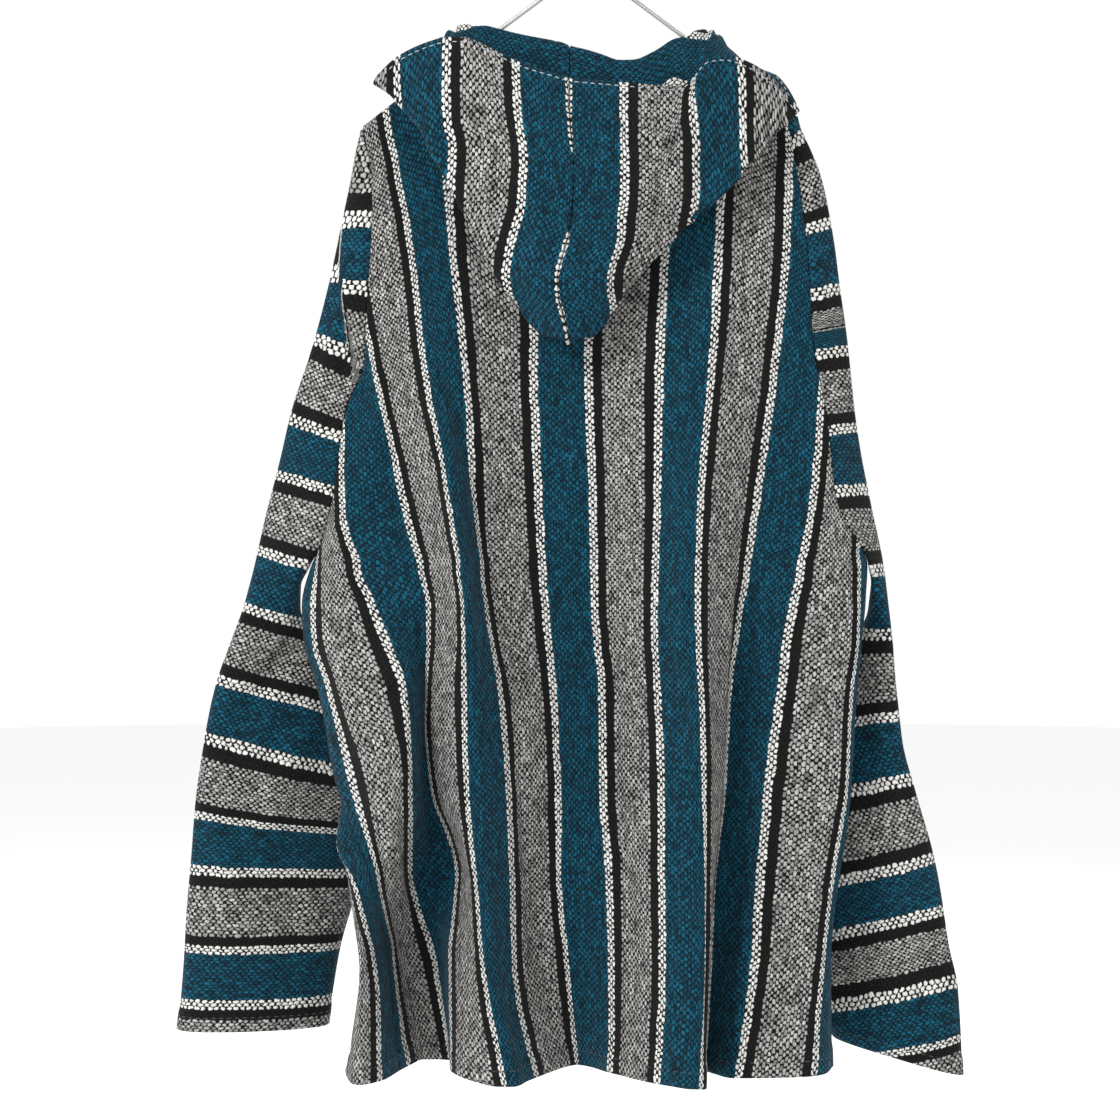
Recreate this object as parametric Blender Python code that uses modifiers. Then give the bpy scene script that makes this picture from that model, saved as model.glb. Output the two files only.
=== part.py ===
"""A baja hoodie of striped jerga cloth, hanging by a wire hanger, with its back towards -Y.

The origin is where a rail bears on the inside of the hanger's hook. +Z is up and +X is to the
right as one looks at the back. Tables are in millimetres: x across, y in depth (the back's
outer side is negative), and drop is how far a point lies below the origin. The cloth's own
coordinate s runs round the body, from 0 at the middle stripe of the back.
"""

import math

import bpy
import numpy as np

MM = 0.001
CLOTH = 2.5  # wall of the cloth
SEAM_GAP = 0.3  # between two pieces that are sewn together
WIRE = 3.8  # diameter of the hanger's wire

BACK_LEFT, BACK_RIGHT = -300.0, 315.0  # side seams, in s
GIRTH = 1230.0  # the whole way round the body: twelve repeats of the stripe
FRONT_RIGHT, FRONT_LEFT = BACK_RIGHT, BACK_LEFT + GIRTH
NECK_LEFT, NECK_RIGHT = -106.0, 104.0  # sides of the neck, in x
HEM_DROP = 941.0
SHOULDER_DROP = 186.0  # where the shoulder seams reach the armholes
NAPE_DROP = 180.0
FRONT_NECK_DROP = 196.0

# Each row is a level of the back, and each column a line down the cloth at that s.
BACK_LINES = (-300, -256, -223, -187, -121, -84, -18, 18, 84, 121, 187, 223, 289, 315)
BACK_ACROSS = {  # drop: x of each line
    186: (-310, -262, -234, -201, -158, -119, -37, 2, 70, 106, 166, 203, 262, 285),
    298: (-276, -241, -219, -190, -137, -110, -37, 0, 65, 101, 162, 194, 246, 267),
    378: (-247, -218, -195, -173, -128, -101, -39, -3, 61, 96, 154, 187, 238, 257),
    500: (-216, -208, -192, -148, -106, -90, -35, 1, 58, 85, 137, 176, 219, 231),
    588: (-228, -195, -161, -127, -95, -81, -30, 3, 56, 83, 123, 157, 218, 221),
    652: (-212, -176, -139, -129, -94, -70, -24, 9, 59, 87, 115, 149, 211, 215),
    716: (-199, -153, -137, -125, -92, -65, -22, 9, 61, 89, 112, 140, 207, 210),
    790: (-166, -153, -139, -105, -85, -62, -21, 14, 60, 91, 103, 133, 195, 201),
    852: (-159, -147, -122, -109, -79, -61, -15, 16, 60, 90, 98, 127, 187, 194),
    941: (-150, -129, -108, -106, -61, -43, -6, 16, 56, 84, 93, 113, 178, 193),
}
BACK_DEPTH = {  # drop: y of each line
    186: (-6, -6, -7, -7, -8, -8, -9, -9, -8, -8, -7, -7, -6, -6),
    298: (-4, -6, -8, -10, -16, -14, -10, -10, -12, -14, -10, -8, -6, -4),
    378: (-2, -4, -6, -8, -30, -22, -6, -5, -24, -30, -8, -6, -3, -2),
    500: (-2, -10, -14, -10, -52, -26, -4, -2, -34, -52, -14, -13, -6, -1),
    588: (-5, -40, -38, -28, -70, -38, -6, 0, -38, -60, -14, -16, -16, 0),
    652: (-12, -58, -56, -24, -62, -36, -4, 5, -36, -57, -2, -14, -18, 0),
    716: (-25, -74, -60, -24, -68, -42, -6, 3, -40, -60, -4, -22, -24, -2),
    790: (-80, -52, -22, -15, -80, -52, -10, -22, -58, -74, -8, -26, -32, -4),
    852: (-22, -5, -8, -30, -88, -60, -14, -30, -72, -90, -28, -46, -40, -8),
    941: (-42, 3, -2, -35, -95, -66, -18, -44, -86, -104, -40, -66, -58, -22),
}

# The same for the front, from the right side seam round to the left one.
FRONT_LINES = (315, 345, 400, 480, 560, 640, 720, 790, 830, 855, 885, 905, 930)
FRONT_ACROSS = {
    186: (251, 235, 207, 139, 54, -26, -106, -182, -215, -231, -251, -263, -279),
    378: (251, 235, 195, 127, 54, -22, -96, -154, -189, -203, -216, -227, -239),
    500: (231, 224, 188, 127, 60, -11, -82, -141, -174, -190, -203, -210, -216),
    588: (221, 217, 183, 127, 65, -2, -70, -130, -162, -181, -203, -216, -228),
    716: (211, 208, 179, 122, 64, 5, -52, -108, -140, -158, -179, -193, -199),
    752: (206, 203, 177, 120, 62, 0, -58, -117, -152, -171, -190, -197, -182),
    790: (201, 197, 174, 117, 58, -5, -68, -132, -167, -182, -184, -176, -166),
    852: (194, 192, 169, 109, 48, -16, -80, -140, -167, -176, -176, -166, -159),
    900: (193, 192, 168, 104, 40, -27, -96, -158, -178, -181, -170, -160, -153),
    941: (193, 193, 168, 100, 34, -36, -112, -176, -189, -184, -172, -160, -150),
}
FRONT_DEPTH = {
    186: (6, 7, 8, 8, 9, 9, 8, 8, 7, 7, 7, 6, 6),
    378: (-2, 4, 9, 17, 14, 24, 14, 14, 9, 7, 5, 3, -2),
    500: (-1, 7, 12, 32, 18, 38, 18, 23, 12, 8, 5, 2, -2),
    588: (0, 9, 12, 42, 20, 48, 18, 30, 14, 9, 5, 1, -5),
    716: (-2, 9, 13, 47, 20, 53, 20, 34, 13, 3, -7, -16, -25),
    752: (-3, 9, 13, 49, 19, 55, 20, 28, 3, -12, -28, -43, -54),
    790: (-4, 9, 13, 50, 18, 57, 20, 20, -18, -44, -74, -88, -80),
    852: (-8, 8, 14, 52, 17, 56, 22, 18, -16, -40, -68, -52, -22),
    900: (-14, 4, 13, 53, 16, 55, 24, 6, -34, -60, -84, -62, -30),
    941: (-22, 0, 12, 53, 16, 53, 25, 0, -40, -65, -90, -72, -42),
}

# How the armholes are cut: at each drop, the s of the back panel's left and right edge.
ARMHOLE = {
    186: (-156, 180),
    230: (-153, 190),
    298: (-166, 203),
    378: (-193, 218),
    420: (-222, 232),
    490: (-240, 252),
    515: (-262, 272),
    545: (-300, 315),
}

# The sleeves hang beside the body. At each drop: x and y of the outer fold.
SLEEVE_OUTER_LEFT = {
    190: (-181, -1),
    236: (-189, 0),
    298: (-201, 1),
    360: (-217, 3),
    420: (-236, 5),
    488: (-254, 8),
    576: (-275, 10),
    636: (-297, 12),
    700: (-311, 14),
    766: (-319, 16),
    822: (-323, 18),
    872: (-326, 20),
    920: (-331, 22),
}
SLEEVE_OUTER_RIGHT = {
    180: (164, 1),
    226: (184, 1),
    290: (198, 2),
    352: (207, 4),
    412: (213, 8),
    464: (223, 12),
    546: (239, 15),
    614: (248, 18),
    674: (253, 20),
    730: (267, 20),
    788: (283, 21),
    838: (290, 22),
    894: (302, 24),
    958: (304, 25),
}
# Below the underarm: x and y of the inner fold, how far the wall swells from the line between
# the folds towards the back and towards the front.
SLEEVE_INNER_LEFT = {
    545: (-223, 0, 7, 9),
    560: (-232, 4, 9, 14),
    578: (-233, 14, 11, 17),
    602: (-226, 28, 13, 19),
    640: (-206, 42, 16, 20),
    690: (-182, 50, 18, 20),
    735: (-174, 54, 19, 20),
    775: (-180, 54, 20, 20),
    812: (-190, 52, 21, 21),
    842: (-200, 48, 22, 22),
    884: (-208, 44, 23, 23),
    920: (-213, 40, 24, 24),
}
SLEEVE_INNER_RIGHT = {
    545: (225, 0, 5, 6),
    560: (230, 5, 7, 11),
    578: (230, 17, 9, 14),
    602: (223, 31, 11, 16),
    640: (201, 44, 13, 18),
    690: (175, 50, 16, 19),
    740: (158, 54, 18, 19),
    780: (150, 55, 19, 19),
    810: (152, 55, 19, 19),
    845: (160, 53, 20, 20),
    875: (172, 50, 21, 21),
    905: (187, 46, 22, 22),
    930: (204, 43, 22, 22),
}

# Each row is a section of one half of the hood, at its distance from the crown's corner along
# the crown seam: the outer fold that the pouch hangs by and the crest above the neck.
CROWN_SEAM = {  # along: x, y, drop
    0: (-14, -42, 372),
    15: (-17, -56, 357),
    45: (-24, -63, 327),
    90: (-14, -65, 282),
    135: (-11, -65, 238),
    175: (-14, -63, 198),
    207: (-15, -59, 166),
}
HOOD_LEFT = {  # along: fold x, y, drop, rise x, y, drop, crest x, y, drop
    0: (-14, -36, 366, -14, -26, 250, -14, -15, 131),
    5: (-37, -40, 363, -26, -27, 245, -19, -15, 129),
    15: (-52, -44, 346, -38, -28, 240, -28, -16, 127),
    45: (-70, -48, 322, -66, -30, 220, -55, -16, 122),
    90: (-97, -46, 271, -96, -30, 190, -90, -14, 113),
    135: (-116, -46, 225, -120, -28, 170, -112, 4, 116),
    175: (-141, -42, 190, -140, -22, 158, -122, 13, 138),
    207: (-169, -30, 163, -152, -8, 151, -130, 20, 160),
}
HOOD_RIGHT = {
    0: (-14, -36, 366, -14, -26, 250, -14, -15, 131),
    5: (5, -40, 365, -4, -27, 245, -8, -15, 133),
    15: (16, -44, 350, 6, -28, 240, 3, -16, 136),
    45: (35, -48, 322, 36, -30, 225, 33, -16, 143),
    90: (76, -46, 282, 78, -30, 200, 80, -13, 120),
    135: (110, -46, 250, 108, -34, 166, 102, 5, 114),
    175: (138, -42, 216, 130, -28, 156, 108, 13, 130),
    207: (167, -32, 186, 148, -8, 153, 122, 20, 146),
}
# How the hood's face edge leaves the straight line from seam to fold: share of it, lift.
RIM_LEFT = ((0.25, 12), (0.58, 33), (0.85, 21))
RIM_RIGHT = ((0.48, 4), (0.64, 34), (0.80, 30))
RIM_FADE = 3.0  # how soon the lift fades below the edge
# How far the cloth stands off the straight way from crest to neck, where it stands in front.
HOOD_STAND = {  # along: towards the middle, y, drop
    0: (0, 0, 0),
    107: (0, 0, 0),
    135: (10, 4, 0),
    175: (20, 6, -8),
    207: (31, 4, -7),
}
HOOD_DEPTH = 207.0
HOOD_SIDE = 107.0  # where the hood's neck edge passes the side of the neck
HOOD_FRONT = 0.46  # where it ends, as a share of the front's neckline
HOOD_SWELL = 6.0  # how far the pouch's outer wall swells between seam and fold
HOOD_CLOSER = 1.4  # how much closer the sections lie towards the crown's corner
HOOD_OVER = 7.0  # half of what the hood's neck edge takes to pass over the hanger's arm

HANGER_HALF = 158.0
HANGER_JUNCTION = 62.0  # drop of the point where the arms meet
HANGER_END = 180.0  # drop of the arms' ends
HANGER_BAR = 190.5  # drop of the bottom bar
HANGER_BEND = 7.0  # radius of the bends at the ends
HOOK_RADIUS = 18.0  # inside
OVER_WIRE = 4.5  # from the wire's middle up to the middle of the cloth on it

SHOULDER_ROLL = 6.0  # radius of the cloth where it turns over the arms
SHOULDER_APART = 0.55  # from the shoulder seam's line to the middle of either panel's edge
NECK_ROLL, NECK_EASE = 0.35, 16.0  # the roll's share at the side of the neck, and its change
UNDERARM_DROP = 545.0
# Rows of the panels: above the underarm as a share of that height, then below it.
UPPER_ROWS = (0, 0.0033, 0.014, 0.06, 0.14, 0.24, 0.34, 0.44, 0.54, 0.64, 0.74, 0.83, 0.9, 0.955, 1)
LOWER_ROWS = 13
BACK_COLUMNS, FRONT_COLUMNS = 34, 24
# Rows of a sleeve below the underarm, as a share of the way to the cuff.
SLEEVE_LOWER = (0.04, 0.09, 0.155, 0.24, 0.34, 0.44, 0.54, 0.64, 0.74, 0.83, 0.92, 1)
SLEEVE_COLUMNS = 24
SLEEVE_TOP = 2  # the sleeve's first row follows the panels' edges down to this row of theirs
SLEEVE_EASE = 1.2  # extra room at the armhole's seam
TOP_EASE = 2.4  # how much further the top of the sleeve stands off at the shoulder
SIDE_DRAW = (1, 0.75, 0.4, 0.12)  # how the front's edge is drawn to the back's at the side
HOOD_ROWS, HOOD_COLUMNS = 15, 26


def slopes(keys, values):
    """Slope at each row of a table, so that a curve through the rows never overshoots."""
    gap = np.diff(keys)[:, None]
    rise = np.diff(values, axis=0) / gap
    before, after = rise[:-1], rise[1:]
    near, far = 2 * gap[1:] + gap[:-1], gap[1:] + 2 * gap[:-1]
    same_way = before * after > 0
    before = np.where(same_way, before, 1)
    after = np.where(same_way, after, 1)
    inner = np.where(same_way, (near + far) / (near / before + far / after), 0)
    return np.vstack([rise[:1], inner, rise[-1:]])


def smooth(keys, values, at):
    """Rows of values at the places asked for, on a smooth curve through a table's rows."""
    keys = np.asarray(keys, float)
    values = np.asarray(values, float).reshape(len(keys), -1)
    at = np.atleast_1d(np.asarray(at, float))
    place = np.clip(np.searchsorted(keys, at, side="right") - 1, 0, len(keys) - 2)
    gap = np.diff(keys)[place][:, None]
    t = np.clip((at - keys[place])[:, None] / gap, 0, 1)
    slope = slopes(keys, values)
    return (
        (2 * t**3 - 3 * t**2 + 1) * values[place]
        + (t**3 - 2 * t**2 + t) * gap * slope[place]
        + (3 * t**2 - 2 * t**3) * values[place + 1]
        + (t**3 - t**2) * gap * slope[place + 1]
    )


def column(table, at):
    """The columns of a table kept as {key: row}, at one or many keys."""
    return smooth(list(table), list(table.values()), at)


def on_body(levels, lines, drop, s):
    """A value of the body's table at many pairs of drop and s."""
    keys = np.array(list(levels), float)
    rows = np.stack([smooth(lines, row, s)[:, 0] for row in levels.values()])
    slope = slopes(keys, rows)
    each = np.arange(len(s))
    place = np.clip(np.searchsorted(keys, drop, side="right") - 1, 0, len(keys) - 2)
    gap = np.diff(keys)[place]
    t = np.clip((drop - keys[place]) / gap, 0, 1)
    return (
        (2 * t**3 - 3 * t**2 + 1) * rows[place, each]
        + (t**3 - 2 * t**2 + t) * gap * slope[place, each]
        + (3 * t**2 - 2 * t**3) * rows[place + 1, each]
        + (t**3 - t**2) * gap * slope[place + 1, each]
    )


def wire_drop(x):
    """Drop of the wire's middle along the hanger's arms."""
    return HANGER_JUNCTION + (HANGER_END - HANGER_JUNCTION) * np.abs(x) / HANGER_HALF


def panel_edges(drop, front):
    """s of a panel's left and right edge as one looks at the back."""
    left, right = column(ARMHOLE, drop).T
    if front:
        return 2 * BACK_LEFT - left + GIRTH, 2 * BACK_RIGHT - right
    return left, right


def panel_s(share, drop, front):
    left, right = panel_edges(drop, front)
    return left + (right - left) * share


def panel_surface(drop, s, front):
    levels = (FRONT_ACROSS, FRONT_DEPTH) if front else (BACK_ACROSS, BACK_DEPTH)
    lines = FRONT_LINES if front else BACK_LINES
    return [on_body(table, lines, drop, s) for table in levels]


def neckline_shares(front):
    """The sides of the neck, as shares of a panel's width."""
    share = np.linspace(0, 1, 200)
    level = np.full(len(share), SHOULDER_DROP)
    x = panel_surface(level, panel_s(share, level, front), front)[0]
    return np.interp([NECK_LEFT, NECK_RIGHT], x, share)


def top_edge(share, front):
    """Drop of a panel's top edge, and how much of the shoulder's roll it has there."""
    share = np.atleast_1d(np.asarray(share, float))
    level = np.full(len(share), SHOULDER_DROP)
    x = panel_surface(level, panel_s(share, level, front), front)[0]
    shoulder = wire_drop(x) - OVER_WIRE
    start, end = neckline_shares(front)
    way = np.clip((share - start) / (end - start), 0, 1)
    sides = wire_drop(np.array([NECK_LEFT, NECK_RIGHT])) - OVER_WIRE
    base = sides[0] + (sides[1] - sides[0]) * way
    dip = 1 - np.abs(2 * way - 1) ** (1.5 if front else 2.4)
    lowest = FRONT_NECK_DROP if front else NAPE_DROP
    neck = base + (lowest - base) * dip
    in_neck = (share > start) & (share < end)
    past_neck = np.maximum(NECK_LEFT - x, x - NECK_RIGHT)
    return np.where(in_neck, neck, shoulder), np.clip(NECK_ROLL + past_neck / NECK_EASE, 0, 1)


def panel_points(share, upper, lower, front):
    """Points of a panel at a share of its width. upper and lower say how far down it is."""
    top, roll = top_edge(share, front)
    drop = top + (UNDERARM_DROP - top) * upper + (HEM_DROP - UNDERARM_DROP) * lower
    ends, _ = top_edge([0.0, 1.0], front)
    edge_top = ends[0] + (ends[1] - ends[0]) * share
    s = panel_s(share, edge_top + (UNDERARM_DROP - edge_top) * upper, front)
    x, y = panel_surface(drop, s, front)
    down = np.clip((drop - top) / SHOULDER_ROLL, 0, 1)
    at_seam = SHOULDER_APART if front else -SHOULDER_APART
    rolled = at_seam + (y - at_seam) * np.sqrt(1 - (1 - down) ** 2)
    y = y + (rolled - y) * roll
    return np.stack([x, y, -drop], axis=-1)


def panel_grid(columns, front):
    """Even columns, with one at each side of the neck."""
    share = np.linspace(0, 1, columns)
    for side in neckline_shares(front):
        share[np.argmin(np.abs(share - side))] = side
    levels = [(a, 0.0) for a in UPPER_ROWS]
    levels += [(1.0, (k + 1) / LOWER_ROWS) for k in range(LOWER_ROWS)]
    return np.stack([panel_points(share, a, b, front) for a, b in levels])


def unit(vectors):
    return vectors / np.maximum(np.linalg.norm(vectors, axis=-1, keepdims=True), 1e-6)


def stand_off(edge, into_a, into_b, ease=1.0):
    """How far the edge of piece a stands off a seam shared with b, so that their walls clear."""
    along = unit(np.gradient(edge, axis=0))
    a = into_a - edge
    b = into_b - edge
    a = unit(a - along * (a * along).sum(axis=1, keepdims=True))
    b = unit(b - along * (b * along).sum(axis=1, keepdims=True))
    lean = np.linalg.norm(a + b, axis=1, keepdims=True) / 2
    return unit(a - b) * (SEAM_GAP / 2 + CLOTH / 2 * lean) * ease


def side_seam(back, front, edge, inner):
    """Closes the front's edge up to the back's below the underarm, and parts their walls."""
    first = len(UPPER_ROWS) - 1
    short = back[first:, edge] - front[first:, edge]
    step = 1 if inner > edge else -1
    for k, share in enumerate(SIDE_DRAW):
        front[first:, edge + step * k] += short * share
    seam = back[first:, edge].copy()
    off = stand_off(seam, back[first:, inner], front[first:, inner], ease=1.15)
    back[first:, edge] += off
    front[first:, edge] -= off


def polyline(points, count):
    """Evenly spaced points along a line of points."""
    way = np.concatenate([[0], np.cumsum(np.linalg.norm(np.diff(points, axis=0), axis=1))])
    at = np.linspace(0, way[-1], count)
    return np.stack([np.interp(at, way, points[:, k]) for k in range(3)], axis=1)


def sleeve_row(back_edge, front_edge, outer, swells, opened=0.0):
    """From the back's edge out to the outer fold and round to the front's edge. Where the row
    is opened it leaves the edges straight outwards, and otherwise it turns round a fold."""
    turn = np.linspace(0, 1, SLEEVE_COLUMNS)[:, None]
    out = (1 - opened) * (1 - np.cos(2 * np.pi * turn)) / 2 + opened * np.sin(np.pi * turn)
    near = turn < 0.5
    start = np.where(near, back_edge, front_edge)
    swell = np.abs(np.sin(2 * np.pi * turn)) ** 0.8 * np.where(near, -swells[0], swells[1])
    return start + (outer - start) * out + swell * (0, 1, 0)


def sleeve_grid(back, front, edge, inner, outer_line, inner_line):
    """Rows down the sleeve: open at the armhole, and closed below the underarm."""
    last = len(UPPER_ROWS) - 1
    arc = np.vstack([back[SLEEVE_TOP::-1, edge], front[:SLEEVE_TOP + 1, edge]])
    rows = [polyline(arc, SLEEVE_COLUMNS)]
    start, end = list(inner_line)[0], list(inner_line)[-1]
    cuff = list(outer_line)[-1]
    full = column(inner_line, start)[0, 2:]
    for k in range(SLEEVE_TOP + 1, last + 1):
        ends = [back[k, edge], front[k, edge]]
        if k == last:
            ends = [(ends[0] + ends[1]) / 2] * 2
        drop = -(ends[0][2] + ends[1][2]) / 2
        x, y = column(outer_line, drop)[0]
        share = (k - SLEEVE_TOP) / (last - SLEEVE_TOP)
        outer = np.array([x, y, -drop])
        rows.append(sleeve_row(*ends, outer, full * (0.6 + 0.4 * share), 1 - share**6))
    for share in SLEEVE_LOWER:
        drop = start + (end - start) * share
        x, y, *swells = column(inner_line, drop)[0]
        fold = np.array([x, y, -drop])
        drop = start + (cuff - start) * share
        x, y = column(outer_line, drop)[0]
        rows.append(sleeve_row(fold, fold, np.array([x, y, -drop]), swells))
    grid = np.array(rows)
    for panel, side, beside in ((back, 0, 1), (front, -1, -2)):
        seam = panel[:last + 1, edge].copy()
        into = grid[1:last + 2 - SLEEVE_TOP, beside] - seam[SLEEVE_TOP:]
        into = np.vstack([np.repeat(into[:1], SLEEVE_TOP, axis=0), into])
        ease = SLEEVE_EASE + 1.4 * np.linspace(0, 1, last + 1)[:, None] ** 4
        off = stand_off(seam, panel[:last + 1, inner], seam + into, ease)
        off[last, 1] = 0
        panel[:last + 1, edge] += off
        for k, share in enumerate(SIDE_DRAW):
            grid[1:last + 1 - SLEEVE_TOP, side + (beside - side) * k] -= off[SLEEVE_TOP + 1:] * share
        grid[0] -= off[0] * TOP_EASE
    grid[last - SLEEVE_TOP, -1] = grid[last - SLEEVE_TOP, 0]
    return grid


def neck_point(along, left, back, front):
    """Where the hood's neck edge meets the panels, from the nape round to the front."""
    way = max(0.5 - 0.5 * along / (HOOD_SIDE - HOOD_OVER), 0)
    past = HOOD_SIDE + HOOD_OVER
    if along > past:
        way = HOOD_FRONT * (along - past) / (HOOD_DEPTH - past)
    x = NECK_LEFT + (NECK_RIGHT - NECK_LEFT) * (way if left else 1 - way)
    edges = [[np.interp(x, panel[0, :, 0], panel[0, :, k]) for k in (1, 2)] for panel in (back, front)]
    if abs(along - HOOD_SIDE) < HOOD_OVER + 1:
        y = math.copysign(HOOD_OVER - 1.5, along - HOOD_SIDE)
        z = edges[0][1] + 2.4 * CLOTH
    else:
        y, z = edges[1 if along > HOOD_SIDE else 0]
    return np.array([x, y, z + SEAM_GAP + CLOTH * 0.4])


def hood_section(along, left, neck):
    """One section of the hood from the crown seam round the pouch and up to the neck."""
    seam = column(CROWN_SEAM, along)[0]
    row = column(HOOD_LEFT if left else HOOD_RIGHT, along)[0]
    fold, rise, crest = row[:3], row[3:6], row[6:]
    points = [seam]
    fade = (along / HOOD_DEPTH) ** RIM_FADE
    for share, lift in RIM_LEFT if left else RIM_RIGHT:
        swell = HOOD_SWELL * math.sin(math.pi * share) * min(along / 45, 1)
        points.append(seam + (fold - seam) * share - np.array([0, swell, lift * fade]))
    neck = neck * (1, 1, -1)
    stand = column(HOOD_STAND, along)[0] * (1 if left else -1, 1, 1)
    points += [fold, rise, crest, (crest + neck) / 2 + stand, neck]
    return np.array(points) * (1, 1, -1)


def hood_grid(left, back, front):
    grid = []
    levels = HOOD_DEPTH * np.linspace(0, 1, HOOD_ROWS) ** HOOD_CLOSER
    beside = np.sort(np.argsort(np.abs(levels - HOOD_SIDE))[:2])
    levels[beside] = HOOD_SIDE - HOOD_OVER, HOOD_SIDE + HOOD_OVER
    for along in levels:
        points = hood_section(along, left, neck_point(along, left, back, front))
        way = np.concatenate([[0], np.cumsum(np.linalg.norm(np.diff(points, axis=0), axis=1))])
        grid.append(smooth(way, points, np.linspace(0, way[-1], HOOD_COLUMNS)))
    return np.array(grid)


def join_hood(left, right):
    """Parts the halves of the hood along the crown seam and down the middle of the back."""
    off = stand_off(left[:, 0].copy(), left[:, 1], right[:, 1], ease=1.4)
    off[:, 0] -= SEAM_GAP / 2
    left[:, 0] += off
    right[:, 0] -= off
    off = stand_off(left[0, 1:].copy(), left[1, 1:], right[1, 1:], ease=1.4)
    off[:, 0] -= SEAM_GAP / 2
    left[0, 1:] += off
    right[0, 1:] -= off


def material(name, colour, roughness, metallic=0.0):
    made = bpy.data.materials.new(name)
    made.use_nodes = True
    shader = made.node_tree.nodes["Principled BSDF"]
    shader.inputs["Base Color"].default_value = (*colour, 1)
    shader.inputs["Roughness"].default_value = roughness
    shader.inputs["Metallic"].default_value = metallic
    made.diffuse_color = (*colour, 1)
    return made


def cloth_piece(name, grid, finish, home, closed_from=None):
    """An open surface through a grid of points, given the cloth's thickness. From the row
    closed_from on, the last column is the first one again."""
    rows, columns = grid.shape[:2]
    index = np.arange(rows * columns).reshape(rows, columns)
    if closed_from is not None:
        index[closed_from:, -1] = index[closed_from:, 0]
    corners = index[:-1, :-1], index[:-1, 1:], index[1:, 1:], index[1:, :-1]
    faces = np.stack([corner.ravel() for corner in corners], axis=1)
    used, faces = np.unique(faces, return_inverse=True)
    mesh = bpy.data.meshes.new(name)
    mesh.from_pydata((grid.reshape(-1, 3)[used] * MM).tolist(), [], faces.reshape(-1, 4).tolist())
    mesh.materials.append(finish)
    mesh.shade_smooth()
    piece = bpy.data.objects.new(name, mesh)
    home.objects.link(piece)
    wall = piece.modifiers.new("wall", "SOLIDIFY")
    wall.thickness = CLOTH * MM
    wall.offset = 0
    return piece


def hanger_route():
    """The wire's middle line: hook, neck, one arm, the bar, the other arm and back to the neck."""
    radius = HOOK_RADIUS + WIRE / 2
    centre = -HOOK_RADIUS
    hook = []
    for angle in np.radians(np.arange(215, -50, -15)):
        hook.append((radius * math.cos(angle), centre + radius * math.sin(angle)))
    neck = [(4.5, -41), (1.2, -46), (0.0, -51), (0.0, -57)]
    beside = WIRE + SEAM_GAP
    steep = (HANGER_END - HANGER_JUNCTION) / HANGER_HALF
    right = [(1.5, -HANGER_JUNCTION - 1.0), (8.0, -HANGER_JUNCTION - 8.0 * steep)]
    end = []
    mid = HANGER_HALF - HANGER_BEND
    for angle in np.radians(np.arange(50, -100, -20)):
        end.append((mid + HANGER_BEND * math.cos(angle),
                    HANGER_BEND * (1 + math.sin(angle)) - HANGER_BAR))
    far = [(-x, z) for x, z in reversed(end)]
    back_up = [(-8.0 - beside, -HANGER_JUNCTION - (8.0 + beside) * steep),
               (-1.5 - beside, -HANGER_JUNCTION - 1.5 * steep), (-beside, -57.0), (-beside, -51.0)]
    return hook + neck + right + end + far + back_up


def hanger(name, finish, home):
    route = hanger_route()
    curve = bpy.data.curves.new(name, "CURVE")
    curve.dimensions = "3D"
    curve.bevel_depth = WIRE / 2 * MM
    curve.bevel_resolution = 2
    curve.use_fill_caps = True
    line = curve.splines.new("POLY")
    line.points.add(len(route) - 1)
    for point, (x, z) in zip(line.points, route):
        point.co = (x * MM, 0, z * MM, 1)
    curve.materials.append(finish)
    piece = bpy.data.objects.new(name, curve)
    home.objects.link(piece)
    return piece


def build():
    for old in list(bpy.data.objects):
        bpy.data.objects.remove(old)
    home = bpy.data.collections.new("baja_hoodie")
    bpy.context.scene.collection.children.link(home)
    cloth = material("jerga_cloth", (0.02, 0.13, 0.18), 0.95)
    steel = material("steel_wire", (0.55, 0.54, 0.52), 0.25, 1.0)

    back = panel_grid(BACK_COLUMNS, False)
    front = panel_grid(FRONT_COLUMNS, True)
    hood_left, hood_right = [hood_grid(left, back, front) for left in (True, False)]
    join_hood(hood_left, hood_right)
    for edge, inner in ((0, 1), (-1, -2)):
        side_seam(back, front, edge, inner)
    lines = (SLEEVE_OUTER_LEFT, SLEEVE_INNER_LEFT), (SLEEVE_OUTER_RIGHT, SLEEVE_INNER_RIGHT)
    sleeve_left = sleeve_grid(back, front, 0, 1, *lines[0])
    sleeve_right = sleeve_grid(back, front, -1, -2, *lines[1])

    underarm = len(UPPER_ROWS) - 1 - SLEEVE_TOP
    cloth_piece("body_back", back, cloth, home)
    cloth_piece("body_front", front, cloth, home)
    cloth_piece("sleeve_left", sleeve_left, cloth, home, closed_from=underarm)
    cloth_piece("sleeve_right", sleeve_right, cloth, home, closed_from=underarm)
    cloth_piece("hood_left", hood_left, cloth, home)
    cloth_piece("hood_right", hood_right, cloth, home)
    hanger("hanger", steel, home)


build()
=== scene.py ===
# %% [markdown]
# # A baja hoodie on a wire hanger
# This lesson dresses a hooded pullover of coarse striped jerga cloth that hangs by a wire hanger
# with its back to us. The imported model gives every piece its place, and here each gets cloth that
# is thin, creased and woven, with its seams, its hems and the light of a small studio.
# Positions are in millimetres while a piece is worked out, and become metres in its mesh.

import math

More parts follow.
